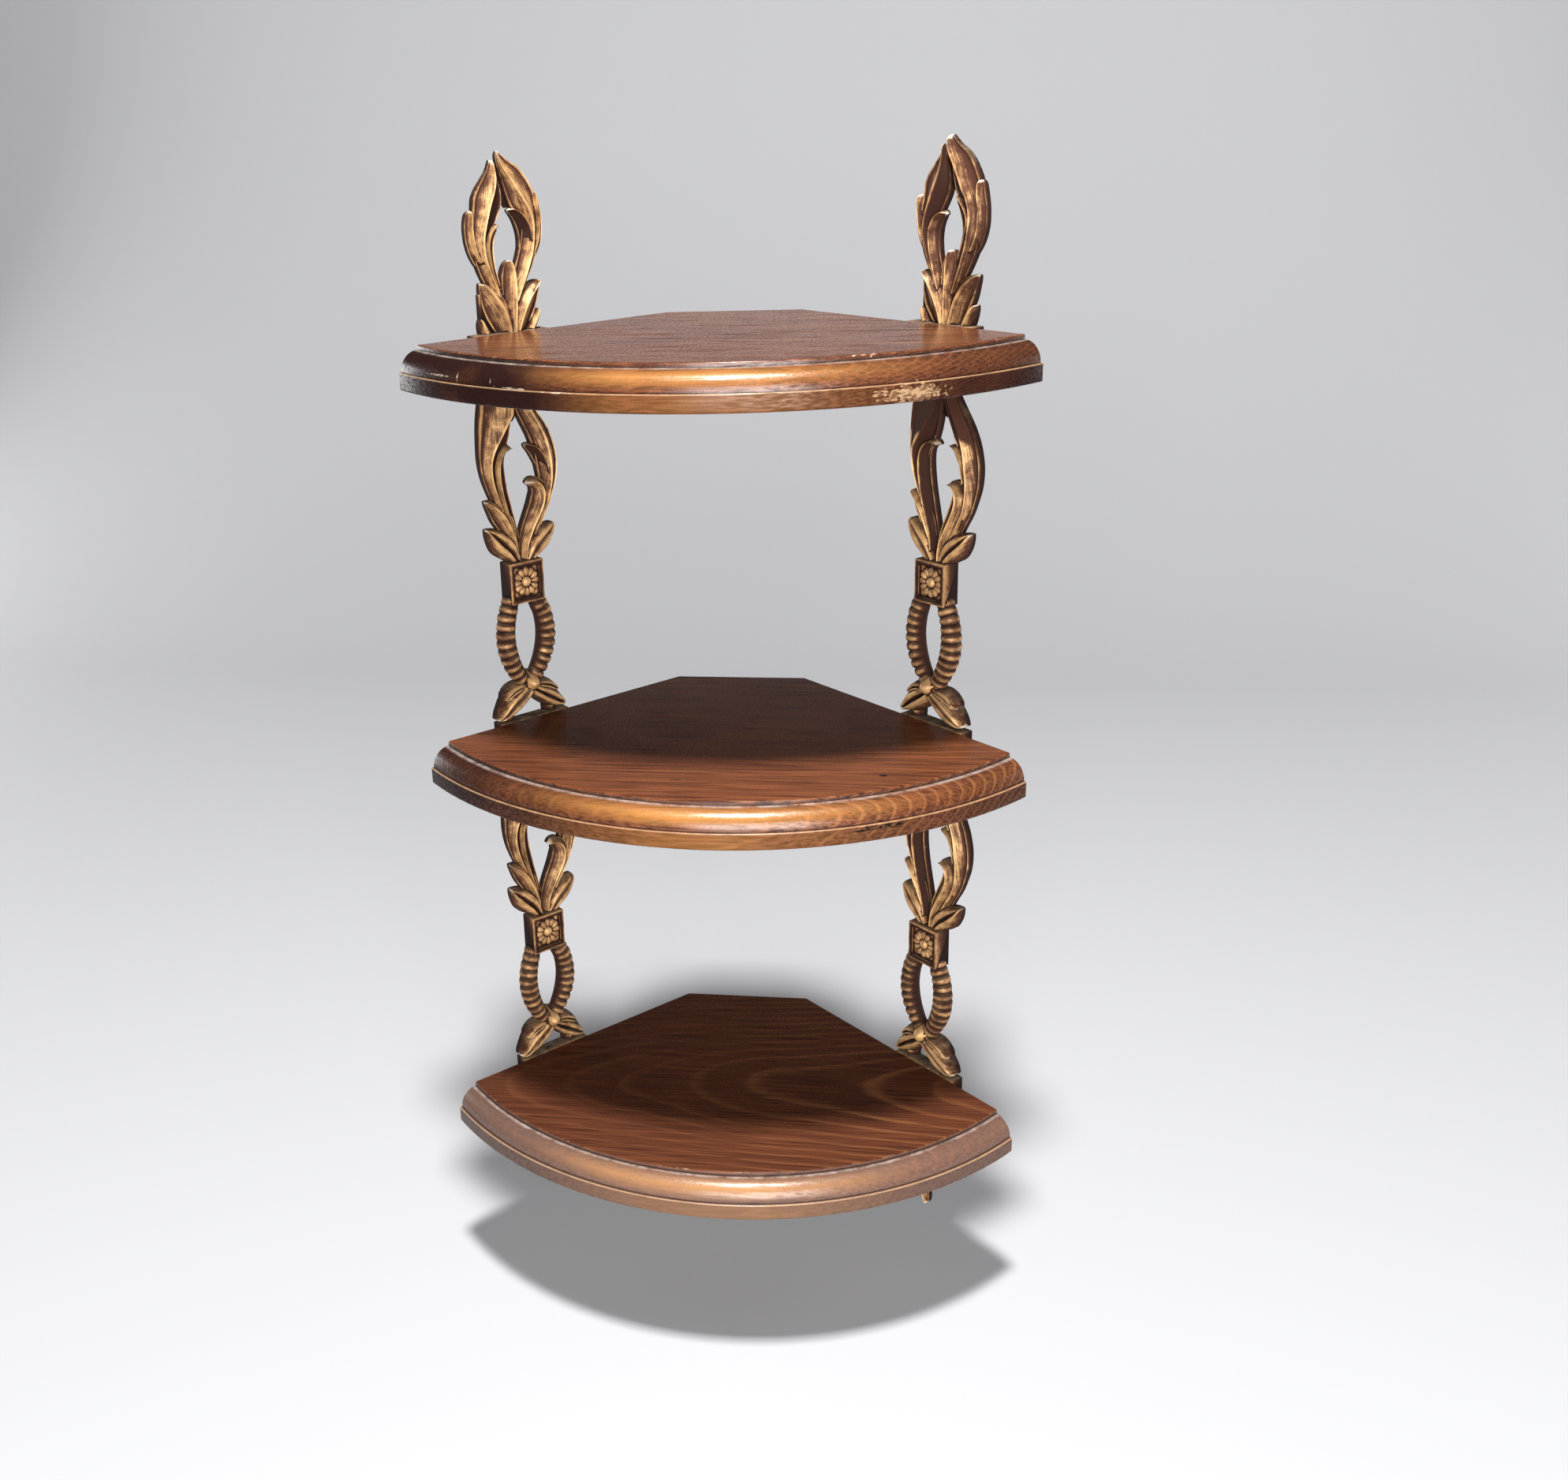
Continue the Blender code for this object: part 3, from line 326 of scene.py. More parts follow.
def stained_pine(name, heart, tilt, ring_width, stain_and_painted_light, figure, ends, film, polish, marks):
    """Pine from its own plank: heart is the tree's centre below it, tilt how the saw ran, deep how dark
    its stain is set, partly painted light, figure how clear the rings are on top and on the moulding, ends
    how dark its front goes to the sides, partly painted shade, film its dust, polish the shine left on its
    top. A mark of wear, a few of them partly painted glints, has a place, turn and half sizes in mm and
    degrees, a stain, a strength and raggedness."""
    material, tree = new_material(name)
    coords = add(tree, "ShaderNodeTexCoord", take="Object")
    facing = add(tree, "ShaderNodeNewGeometry", take="Normal")
    rearward = add(tree, "ShaderNodeSeparateXYZ", {0: facing}, take="Y")
    moulded = add(tree, "ShaderNodeMapRange", {
        "Value": rearward, "From Min": 0.3, "From Max": 0.6, "To Min": 1.0, "To Max": 0.0})
    value = {"side": add(tree, "ShaderNodeSeparateXYZ", {0: coords}), "moulded": moulded}
    for label in EDGE_MARKS:
        mark = add(tree, "ShaderNodeAttribute", attribute_name=label, take="Fac")
        value[label] = add(tree, "ShaderNodeMath", {0: mark, 1: moulded}, operation="MULTIPLY")

    # Growth rings: the share of the way through a year at the distance from the swaying heart
    sway = add(tree, "ShaderNodeTexNoise", {"Vector": coords, "Scale": 1.0 / SWAY_LENGTH, "Detail": 3.0},
               take="Color")
    sway = add(tree, "ShaderNodeVectorMath", {0: sway, 1: (0.5, 0.5, 0.5)}, operation="SUBTRACT")
    swayed = add(tree, "ShaderNodeVectorMath", {0: sway, 1: (0.0, RING_SWAY, RING_SWAY), 2: coords},
                 operation="MULTIPLY_ADD")
    centred = add(tree, "ShaderNodeMapping", {
        "Vector": swayed, "Location": (0.0, -heart[0], -heart[1]), "Rotation": (0.0, *tilt)})
    flat = add(tree, "ShaderNodeVectorMath", {0: centred, 1: (0.0, 1.0, 1.0)}, operation="MULTIPLY")
    distance = add(tree, "ShaderNodeVectorMath", {0: flat}, take="Value", operation="LENGTH")
    years = add(tree, "ShaderNodeMath", {0: distance, 1: ring_width}, operation="DIVIDE")
    value["year"] = add(tree, "ShaderNodeMath", {0: years}, operation="FRACT")
    value["rise"] = add(tree, "ShaderNodeMapRange", {
        "Value": value["year"], "From Min": 0.5, "From Max": 0.86}, interpolation_type="SMOOTHSTEP")

    # Patterns: size along the grain and across it, detail, roughness
    for label, length, width, detail, roughness in (
            ("fibre", FIBRE_LENGTH, FIBRE_WIDTH, 3.0, 0.5),
            ("dash", FLECK_LENGTH, FLECK_WIDTH, 1.0, 0.5),
            ("blotch", BLOTCH_SIZE, BLOTCH_SIZE, 3.0, 0.5),
            ("chip", CHIP_SIZE, CHIP_SIZE, 5.0, 0.7),
            ("speck", SPECK_SIZE, SPECK_SIZE, 2.0, 0.5)):
        stretched = add(tree, "ShaderNodeMapping", {
            "Vector": coords, "Scale": (1.0 / length, 1.0 / width, 1.0 / width)})
        value[label] = add(tree, "ShaderNodeTexNoise", {
            "Vector": stretched, "Scale": 1.0, "Detail": detail, "Roughness": roughness})
    value["off_middle"] = add(tree, "ShaderNodeMath", {0: value["side"]}, operation="ABSOLUTE")
    value["rubbed"] = add(tree, "ShaderNodeMath", {0: value["arris"], 1: ARRIS_WEAR, 2: value["chip"]},
                          operation="MULTIPLY_ADD")

    # Shares: what gives each, where that starts and ends to count, and the share at both
    for label, source, start, end, first, last in (
            ("fall", "year", 0.88, 1.0, 1.0, 0.0),
            ("fleck", "dash", 0.57, 0.74, 0.0, 0.6),
            ("tone", "fibre", 0.36, 0.64, stain_and_painted_light, 1.0),
            ("streak", "fibre", 0.42, 0.56, 0.2, 1.0),
            ("sheen", "fibre", 0.36, 0.64, 0.5, 0.3),
            ("clear", "blotch", 0.36, 0.62, 0.3, 1.0),
            ("patch", "blotch", 0.5, 0.75, 0.0, 0.4),
            ("lint", "chip", 0.3, 0.7, 0.0, 0.75),
            ("gloss", "speck", 0.3, 0.75, 0.16, 0.36),
            ("worn", "rubbed", 0.78, 1.0, 0.0, 0.5),
            ("rightward", "side", *FIGURE_SIDE, 0.3, 1.0),
            # The front darkens towards both ends, the left end most: partly stain, partly painted shade.
            ("left_end", "side", -END_SHADE[0], -END_SHADE[1], 0.0, 2.1),
            ("right_end", "side", *END_SHADE, 0.0, 0.9),
            # The middle of the front takes most of the painted highlight.
            ("middle", "off_middle", *GLOW_SPAN, 1.3, 0.1),
            ("shown", "front", 0.0, 1.0, *figure),
            ("kept", "front", 0.0, 1.0, 0.1, ends),
            ("shine", "front", 0.0, 1.0, polish, 1.0)):
        value[label] = add(tree, "ShaderNodeMapRange", {
            "Value": value[source], "From Min": start, "From Max": end, "To Min": first, "To Max": last})

    # Steps: each works out a value from those before it
    for label, operation, *terms in (
            ("ring", "MULTIPLY", "rise", "fall"),
            ("ring", "POWER", "ring", 2.0),
            ("line", "MULTIPLY", "ring", "clear"),
            ("line", "MULTIPLY", "line", "rightward"),
            ("line", "MULTIPLY", "line", "shown"),
            # Painted highlight: the glow of the lamps on the ovolo's round and the fascia, strongest
            # mid-front.
            ("painted_glow", "MULTIPLY_ADD", "fascia", FASCIA_GLOW, "round"),
            ("painted_glow", "MULTIPLY", "painted_glow", "middle"),
            ("painted_glow", "MULTIPLY", "painted_glow", "blotch"),
            # The next five steps darken the front's ends (partly painted shade), the fascia and random
            # patches.
            ("shade", "MAXIMUM", "left_end", "right_end"),
            ("shade", "MULTIPLY", "shade", "blotch"),
            ("shade", "MULTIPLY", "shade", "kept"),
            ("shade", "MULTIPLY_ADD", "fascia", FASCIA_STAIN, "shade"),
            ("shade", "MAXIMUM", "shade", "patch"),
            ("film", "MULTIPLY", "front", film),
            ("dust", "MULTIPLY", "dust", "lint"),
            ("dust", "MAXIMUM", "dust", "film"),
            ("pool", "MULTIPLY", "pool", POOL_DEPTH),
            ("ledge", "MULTIPLY", "ledge", "chip"),
            ("worn", "MAXIMUM", "worn", "ledge"),
            ("gloss", "MULTIPLY_ADD", "fleck", FLECK_GLOSS, "gloss"),
            ("sheen", "MULTIPLY_ADD", "fleck", FLECK_SHEEN, "sheen"),
            ("sheen", "MULTIPLY_ADD", "fascia", FASCIA_SHEEN, "sheen"),
            ("sheen", "MAXIMUM", "sheen", LEAST_SHEEN),
            ("sheen", "MULTIPLY", "sheen", "shine"),
            ("sheen", "MULTIPLY", "sheen", "moulded"),
            ("relief", "MULTIPLY_ADD", "speck", SPECK_RELIEF, "fibre"),
            ("relief", "MULTIPLY_ADD", "ring", RING_RELIEF, "relief")):
        inputs = {k: value.get(term, term) for k, term in enumerate(terms)}
        value[label] = add(tree, "ShaderNodeMath", inputs, operation=operation)

    # The fourth layer is a painted highlight, the glow of the lamps on the front.
    layers = [("tone", DEEP_STAIN), ("line", RING_LINE), ("fleck", FLECK_STAIN), ("painted_glow", PAINTED_GLOW_WOOD),
              # The first layer on this line is partly stain and partly painted shade at the ends of the
              # front.
              ("shade", END_STAIN_AND_SHADE), ("dust", GREY_DUST), ("pool", POOLED_STAIN), ("worn", BARE_WOOD)]
    torn = 0.0
    for place, turn, halves, stain, strength, ragged in marks:
        spot = add(tree, "ShaderNodeMapping", {
            "Vector": coords, "Location": [MM * v for v in place], "Scale": [MM * v for v in halves],
            "Rotation": (0.0, 0.0, math.radians(turn))}, vector_type="TEXTURE")
        far = add(tree, "ShaderNodeVectorMath", {0: spot}, take="Value", operation="LENGTH")
        far = add(tree, "ShaderNodeMath", {0: value["dash"], 1: ragged, 2: far}, operation="MULTIPLY_ADD")
        reach = 1.0 + ragged / 2.0
        mark = add(tree, "ShaderNodeMapRange", {
            "Value": far, "From Min": reach, "From Max": reach - MARK_FADE, "To Max": strength})
        mark = add(tree, "ShaderNodeMath", {0: mark, 1: value["streak"]}, operation="MULTIPLY")
        torn = add(tree, "ShaderNodeMath", {0: mark, 1: torn}, operation="MAXIMUM")
        layers.append((mark, stain))
    colour = BROWN_STAIN
    for share, stain in layers:
        colour = add(tree, "ShaderNodeMix", {"Factor": value.get(share, share), 6: colour, 7: stain},
                     take=2, data_type="RGBA")
    gouge = add(tree, "ShaderNodeMath", {0: torn, 1: value["chip"]}, operation="MULTIPLY")
    relief = add(tree, "ShaderNodeMath", {0: gouge, 1: GOUGE_RELIEF, 2: value["relief"]},
                 operation="MULTIPLY_ADD")
    bump = add(tree, "ShaderNodeBump", {"Height": relief, "Strength": 0.18, "Distance": 0.12 * MM})
    wood = add(tree, "ShaderNodeBsdfPrincipled", {
        "Base Color": colour, "Roughness": value["gloss"], "Normal": bump, "IOR": 1.45,
        "Specular IOR Level": value["sheen"]})
    add(tree, "ShaderNodeOutputMaterial", {0: wood})
    return material


# The pale scratch colour is also used for speckled scuffs that are partly painted glints.
TORN_WOOD, SCRATCH_AND_GLINT, SCUFF = linear("#a08262"), linear("#b3a592"), linear("#120c0a")
TOP_MARKS = [
    ((85.0, -94.8, -24.4), 28.6, (14.0, 5.0, 3.8), TORN_WOOD, 0.75, 3.0),
    ((-105.2, -80.6, -17.6), -36.0, (0.3, 5.0, 2.4), SCRATCH_AND_GLINT, 0.9, 0.6),
    ((-88.0, -91.4, -17.4), -27.0, (0.25, 4.0, 1.2), SCRATCH_AND_GLINT, 0.7, 0.6),
    # The next three ragged speckle marks are scuffed varnish on the lower left ovolo, partly painted
    # glints.
    ((-116.0, -72.0, -17.8), -40.0, (6.0, 4.0, 0.4), SCRATCH_AND_GLINT, 0.5, 3.0),
    ((-77.0, -97.5, -19.7), -27.0, (7.0, 4.0, 0.3), SCRATCH_AND_GLINT, 0.5, 3.0),
    ((-58.0, -106.4, -20.3), -20.0, (6.0, 4.0, 0.3), SCRATCH_AND_GLINT, 0.5, 3.0),
    ((63.0, -93.0, -9.4), 40.0, (1.8, 0.4, 1.6), SCRATCH_AND_GLINT, 1.2, 0.3),
    ((66.4, -91.6, -9.4), 40.0, (2.0, 0.4, 1.6), SCRATCH_AND_GLINT, 1.2, 0.3),
    ((70.0, -90.2, -9.4), 40.0, (1.8, 0.4, 1.6), SCRATCH_AND_GLINT, 1.2, 0.3),
]
MIDDLE_MARKS = [
    ((73.6, -100.4, -211.8), 24.5, (11.5, 4.0, 1.3), SCUFF, 1.2, 1.6),
    ((-16.5, -82.5, -199.0), 0.0, (3.4, 1.5, 2.0), SCUFF, 1.0, 1.2),
    ((75.7, -72.4, -199.0), 10.0, (2.0, 1.1, 2.0), SCUFF, 1.2, 1.0),
]
# Each board's deep value is partly painted light: the middle board is set lighter to keep its lit front
# bright, the bottom board darker, partly its stain and partly painted shade from the boards above.
PLANKS = {
    "top_shelf": {
        "heart": (0.02, -0.32), "tilt": (0.012, 0.02), "ring_width": 1.3 * MM, "stain_and_painted_light": 0.0,
        "figure": (0.15, 0.5), "ends": 1.5, "film": 0.0, "polish": 1.0, "marks": TOP_MARKS},
    "middle_shelf": {
        "heart": (-0.012, -0.25), "tilt": (-0.03, 0.03), "ring_width": 3.2 * MM, "stain_and_painted_light": -0.25,
        "figure": (0.2, 0.6), "ends": 0.8, "film": 0.0, "polish": 0.2, "marks": MIDDLE_MARKS},
    "bottom_shelf": {
        "heart": (-0.03, -0.45), "tilt": (0.12, -0.05), "ring_width": 4.4 * MM, "stain_and_painted_light": 0.45,
        "figure": (0.45, 0.12), "ends": 0.4, "film": 0.09, "polish": 0.2, "marks": []},
}
corner_board = board_tree()
for board in BOARDS:
    pine = stained_pine("stained_pine_" + board, **PLANKS[board])
    board_mesh = grow(corner_board, board_section(), {
        "Columns": BOARD_COLUMNS, "Front Radius": front_radius, "Front Centre": front_centre_y,
        "Wall Gap": wall_gap, "Back Half": CORNER_CUT / 2.0, "Back": board_high.y, "Cap Point": CAP_POINT,
        "Top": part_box(board)[1].z, "Material": pine,
    })
    face_outwards(board_mesh)
    show(board + "_board", board_mesh, "stained_wood", board)

# Brackets
# Two castings in light alloy from one pattern, one on each wall: a flame finial over a fan of leaves,
# bows of leafy strands, rosette blocks, ribbed loops and a drop. Painted umber, then rubbed with gold.
WALL_TURN = math.radians(45.0)
# A strand has the make of its two faces, the lean of its crest at root, middle and tip, and stations in
# mm: across, up from the top of its group, half width, height off the wall.
CENTRED = (0.0, 0.0, 0.0)
FINIAL = {
    "left_blade": ("blade hollow", (0.1, 0.0, 0.65), [
        (-4, 14, 3, 6), (-6, 21, 3.4, 6.2), (-9, 28, 3.9, 6.6), (-11, 35, 4.2, 7),
        (-11.4, 42, 4.6, 7.2), (-10, 48, 5.6, 7.2), (-8, 53.5, 6.8, 7), (-6.4, 58.5, 7.6, 6.8),
        (-5, 63.5, 6.4, 6.6), (-4.2, 67.5, 4.4, 6.2), (-3.6, 71.2, 2.3, 5.6), (-3.3, 74.4, 1, 5),
        (-3.2, 76.6, 0.4, 4.6)]),
    "left_curl": ("blade", (-0.3, -0.6, -0.3), [
        (-2, 14, 2.2, 6), (-4.6, 22, 2.3, 6), (-6.4, 29, 2.4, 6.2), (-7.2, 36, 2.5, 6.4),
        (-6.8, 41, 2.6, 6.4), (-5.2, 45, 2.3, 6.2), (-3, 47.2, 1.8, 6), (-1.2, 47.4, 1.3, 5.4)]),
    "left_spur": ("blade", (0.3, 0.2, 0.0), [
        (-6, 25.5, 2, 5), (-10.5, 30, 2.5, 5.2), (-14, 35, 2.6, 5.4), (-16, 41, 2.6, 5.6),
        (-16.6, 47.5, 2.5, 5.8), (-16.2, 52.5, 2.1, 6), (-15.8, 55.2, 1.2, 5.6)]),
    "right_blade": ("blade", (0.35, -0.1, -0.8), [
        (4.5, 14, 3, 6), (7.4, 21, 3.6, 6.4), (10.6, 28, 4.3, 6.8), (13.6, 35.5, 4.8, 7.2),
        (15.4, 43.5, 4.8, 7.2), (15.6, 49.5, 4.8, 7.2), (14.2, 54.5, 5.8, 7.2), (12, 59, 7.2, 7.2),
        (9.6, 64.5, 6.8, 6.6), (7, 69.5, 5.6, 6), (3.4, 74.2, 3.4, 5.4), (1.4, 78, 1.8, 4.8),
        (0.8, 80.4, 0.7, 4.2)]),
    "right_curl": ("hollow blade", (0.7, 0.8, 0.5), [
        (5, 16, 2, 6), (8.2, 24, 2.4, 6.2), (10.6, 30, 2.8, 6.6), (12, 36, 3, 6.8), (12.2, 42, 3, 7),
        (11.2, 47, 3, 7), (9.2, 51, 2.6, 6.8), (6.8, 53.4, 2, 6.2), (4.4, 54.2, 1.3, 5.4)]),
    "right_spur": ("blade", (-0.2, -0.2, 0.0), [
        (14, 30, 1.8, 5), (17.8, 36.5, 2.4, 5.4), (19.8, 43, 2.5, 5.6), (20, 50, 2.4, 5.8),
        (19, 56.5, 2.3, 6), (18.8, 61.8, 1.3, 5.6)]),
    "web": ("web", CENTRED, [
        (5.2, 55.4, 1.6, 3), (4.6, 60, 3.6, 3.4), (3, 65, 3.6, 3.6), (1.2, 70, 2.4, 3.6),
        (-0.4, 74, 0.8, 3.2)]),
    "left_leaf": ("blade", (0.1, 0.1, 0.0), [
        (0.5, -4, 5, 7), (-1.5, 4, 7.2, 7.6), (-4.2, 10.5, 8.2, 8), (-7.6, 16, 6.8, 7.6),
        (-10.8, 20.3, 3.4, 7), (-13, 22.8, 0.8, 6.2)]),
    "right_leaf": ("blade", (-0.2, -0.1, 0.0), [
        (4.5, -4, 4.6, 7), (7, 4, 5.6, 7.6), (9.6, 10.5, 6.2, 8), (13, 15.6, 5.2, 7.6),
        (16.4, 19.6, 2.8, 7), (18.8, 22, 0.8, 6.2)]),
    "middle_leaf": ("blade", (0.3, 0.3, 0.1), [
        (1.5, -4, 3.2, 7.6), (1.8, 8, 4, 8.4), (2.2, 17, 4.3, 8.6), (2.6, 25, 4.1, 8.2),
        (3.1, 32, 2.2, 7.2)]),
    "left_scroll": ("stem", CENTRED, [(-10, -3, 3.2, 5.4), (-12.4, 2, 2.6, 5.6), (-13.8, 6.8, 1, 5)]),
    "right_scroll": ("stem", CENTRED, [(11, -3, 3.2, 5.8), (14.6, 3.4, 2.6, 6.4), (17.6, 9, 0.9, 6)]),
}
BOW = {
    "left_blade": ("blade hollow", (1.48, -0.3, -0.3), [
        (-7, 3, 7, 7), (-8.6, -10, 8.4, 7.4), (-10, -20, 9, 7.8), (-11.6, -30, 8.4, 8),
        (-13.6, -39, 6.6, 8), (-13.9, -47, 5, 7.4), (-12.2, -55, 4, 6.8), (-9.4, -63, 3.4, 6.2),
        (-6.4, -73, 2.8, 5.8), (-4.2, -84, 2.6, 5.6)]),
    "left_stem": ("blade hollow", (-0.2, -0.4, -0.2), [
        (-2.6, -93, 2.8, 7), (-3.2, -82, 2.9, 7), (-5, -73, 3.1, 7.2), (-7.2, -64, 3.3, 7.4),
        (-9, -55.5, 3.4, 7.6), (-10, -47.5, 3.4, 7.8), (-9.8, -41.5, 3.1, 7.8), (-8.2, -37.4, 2.5, 7.8),
        (-5.4, -35.4, 1.9, 7.4), (-2, -36, 0.9, 6.6)]),
    "left_upper_leaf": ("blade", (0.0, 0.1, 0.0), [
        (-4.6, -80, 2.8, 7), (-7.4, -73.2, 4.5, 7.8), (-10.8, -67.2, 4.9, 7.8),
        (-14.6, -62.4, 3.3, 7.2), (-18.2, -59.4, 0.8, 6)]),
    "left_lower_leaf": ("leaf", CENTRED, [
        (-3.6, -91, 2.8, 7), (-7.2, -85.2, 5.4, 7.8), (-11.4, -80.6, 6.2, 7.8),
        (-15.2, -76.6, 4.2, 7.2), (-18.8, -73, 0.8, 6)]),
    "right_blade": ("blade", (0.3, 0.05, -0.3), [
        (1.6, 3, 3, 6.6), (2.6, -8, 3.4, 7), (5, -15, 4.2, 7.4), (8.8, -22, 5, 7.8),
        (12.8, -29, 5.6, 8), (15.6, -36, 6, 8), (17.2, -44, 6.1, 8), (17.6, -52, 5.2, 7.4),
        (17, -58.5, 3.8, 6.8), (15.4, -65, 2.8, 6.2), (12.4, -71, 2.4, 6), (8.6, -78, 2.4, 5.8),
        (5, -85, 2.4, 5.8), (2.6, -93, 2.6, 5.8)]),
    "right_hook": ("hollow blade", (0.6, 0.6, 0.4), [
        (16, -52, 1.6, 6.4), (14.6, -46.5, 2.6, 7), (12.4, -41.5, 2.9, 7.2), (9.4, -37.4, 2.4, 7),
        (5.8, -35.2, 1.2, 6.4)]),
    "right_stem": ("blade", (-0.1, 0.1, 0.3), [
        (1.2, -93, 2.8, 7), (2.2, -84, 3.6, 7.4), (4.8, -77, 4.4, 7.8), (8.2, -70.4, 4.9, 8.2),
        (10.8, -65, 5.1, 8.6), (12, -60.6, 4.9, 8.6), (11.6, -57, 4.1, 8.4), (9.8, -54.5, 3.3, 8),
        (7.5, -53.6, 2.3, 7.6), (5.2, -53.9, 1.1, 7.2)]),
    "right_leaf": ("leaf", CENTRED, [
        (3, -91, 2.8, 7), (7, -85.8, 5.4, 7.8), (11.2, -82, 6, 7.8), (15.2, -78.6, 4.1, 7.2),
        (18.8, -75, 0.8, 6)]),
    "web": ("web", CENTRED, [
        (-1.6, 3, 3.8, 4), (-0.6, -10, 4, 4), (0.2, -18, 3.2, 4), (0.6, -23.6, 0.8, 3.6)]),
}
LOOP = {
    "left_foot": ("leaf", CENTRED, [
        (2.2, -41, 2.8, 9), (-2.8, -44.8, 4.6, 9.6), (-7.6, -48.2, 5.9, 10), (-12.4, -51.6, 5.8, 10),
        (-17.2, -55.6, 3.4, 9.2), (-20.6, -58, 0.9, 8)]),
    "right_foot": ("leaf", CENTRED, [
        (-5, -41, 2.6, 9), (0.6, -45.6, 3.6, 9.6), (5.8, -49.2, 4.9, 10), (10.8, -52.6, 5.2, 10),
        (15.4, -55.6, 3.6, 9), (19, -57.6, 0.9, 7.8)]),
    "left_lobe": ("leaf", CENTRED, [
        (-4.6, -43, 1.6, 8.6), (-8, -43.4, 2.6, 9), (-11.6, -44.6, 2.8, 8.8), (-14.6, -46.8, 2, 8.4),
        (-16.2, -48.8, 0.7, 7.8)]),
    "right_lobe": ("leaf", CENTRED, [
        (2.4, -43.6, 1.6, 8.6), (6, -44.2, 2.6, 9), (9.6, -45.6, 2.7, 8.8), (12.8, -47.8, 2, 8.4),
        (14.6, -49.6, 0.7, 7.8)]),
    "left_root": ("stem", CENTRED, [(-13, -51, 3.4, 5.4), (-13, -63, 4.4, 5.4)]),
    "right_root": ("stem", CENTRED, [(11.6, -51, 3.4, 5.4), (11.6, -63, 4.4, 5.4)]),
}
LOOP_ARMS = {
    -1.0: [
        (-8.4, 3, 4.2, 9.4), (-10, -2, 4.6, 9.6), (-12, -8.4, 4.8, 10), (-13, -16, 4.9, 10.2),
        (-12.5, -23, 4.9, 10.2), (-10.7, -29.6, 4.7, 10), (-7.9, -35.6, 4.3, 9.4),
        (-4.4, -41, 3.9, 8.8)],
    1.0: [
        (5, 3, 4.2, 9.4), (6.6, -2, 4.6, 9.6), (8.8, -7.4, 4.8, 10), (10, -14.6, 5, 10.2),
        (9.8, -21.4, 5.1, 10.2), (8.2, -28, 5, 10.2), (5.4, -34, 4.6, 10.2), (1.6, -40, 4.2, 10.2)],
}
DROP = {
    "left_blade": ("blade", (0.3, 0.3, 0.1), [
        (-7.4, 3, 4.8, 7), (-11.2, -11, 5.6, 7.6), (-12.2, -25, 5.4, 8), (-9.8, -38, 4.8, 7.6),
        (-5.6, -50, 3.9, 7), (-1.8, -60, 2.7, 6.2), (-0.2, -67.5, 0.9, 5.2)]),
    "right_blade": ("blade", (-0.3, -0.3, -0.1), [
        (6, 3, 4.8, 7), (10.4, -11, 5.6, 7.6), (11.6, -25, 5.4, 8), (9.4, -38, 4.8, 7.6),
        (5.4, -49, 3.8, 7), (1.6, -58, 2.4, 6.2)]),
    "left_leaf": ("leaf", CENTRED, [(-7.6, -35, 3, 7), (-11.6, -43, 3, 7), (-15, -51, 0.8, 5.8)]),
    "right_leaf": ("leaf", CENTRED, [(7.6, -35, 3, 7), (9.4, -42, 2.6, 6.8), (10.2, -49, 0.8, 5.8)]),
    "middle_leaf": ("leaf", CENTRED, [
        (-0.6, 3, 4.2, 7.6), (-0.6, -9, 4.6, 8.2), (-0.6, -19, 3.4, 7.4), (-0.6, -29, 0.9, 5.6)]),
}
EDGE_SHARE = 0.4
EDGE_ROUND = [(1.0, 0.0, 0.05), (1.0, 0.28, 0.2), (0.985, 0.37, 0.35)]
SIDE_STEPS = (0.0, 0.07, 0.16, 0.3, 0.46, 0.62, 0.77, 0.88, 0.95)
SIDE_START = 0.95
STATION_STEPS = 6
LEAN_LIMIT = 0.85
TIP_SHARE = 0.82
TIP_LENGTH, TIP_LEAST, TIP_FLAT = 1.2, 0.04, 0.6
BACK_TRIM, BACK_STAGGER = 0.9, 0.013
LANE_APART = 40.0
CASTING_THICK, PAD_WIDTH = 8.0, 40.0
FAN_SIZE = (28.0, 3.2, 18.0)
BLOCK_SIZE = (19.0, 9.4, 20.5)
BLOCK_SHIFT, BLOCK_FRAME, BLOCK_RECESS, BLOCK_EASE = -1.0, 2.1, 1.8, 0.45
LOOP_HEIGHT, LOOP_RIBS = 60.0, 11
RIB_DEPTH, RIB_ROUND, RIB_GOLD, RIB_DIM = 1.15, 0.55, 0.72, -0.5
RIB_POINTS, ARM_SIDES = 14, 24
PETAL_HALVES = (2.4, 1.5, 1.5)
DAISY_PETALS, PETAL_RING, PETAL_TAPER = 12, 5.0, 0.5
PETAL_GOLD, PETAL_CREST = 0.4, 0.9
BEAD_SIDES, BEAD_RINGS = 20, 12
FIELD_CUTS = 9
BOSS_HALVES = (2.5, 2.5, 2.2)
KNOT_CENTRE, KNOT_HALVES = (-1.5, 0.0, -41.6), (5.4, 13.0, 5.4)
PAD_GOLD, FIELD_GOLD, BLOCK_GOLD, BOSS_GOLD = 0.7, 0.75, 0.75, 0.85
FACE_GOLD, FACE_DIM, HOLLOW_GOLD, WEB_GOLD = 0.74, 0.2, 0.28, 0.05
FACE_CURVE, FACE_FADE = 1.5, (0.6, 0.25)
CREST_START, CREST_ROUND, CREST_SHARPNESS = 0.65, 0.08, 12
RIM_WIDTH, RIM_HEIGHT, RIM_GOLD, RIM_FADE = 0.11, 0.2, 0.9, (0.06, 0.24)
HOLLOW_CURVE, HOLLOW_CREST = 2.2, 0.86
HOLLOW_RIM_WIDTH, HOLLOW_RIM_HEIGHT, HOLLOW_RIM_GOLD = 0.1, 0.15, 0.85
LEAF_SWELL, LEAF_RISE, VEIN_START, VEIN_DEPTH = 0.6, (0.1, 0.55), 0.72, 0.45
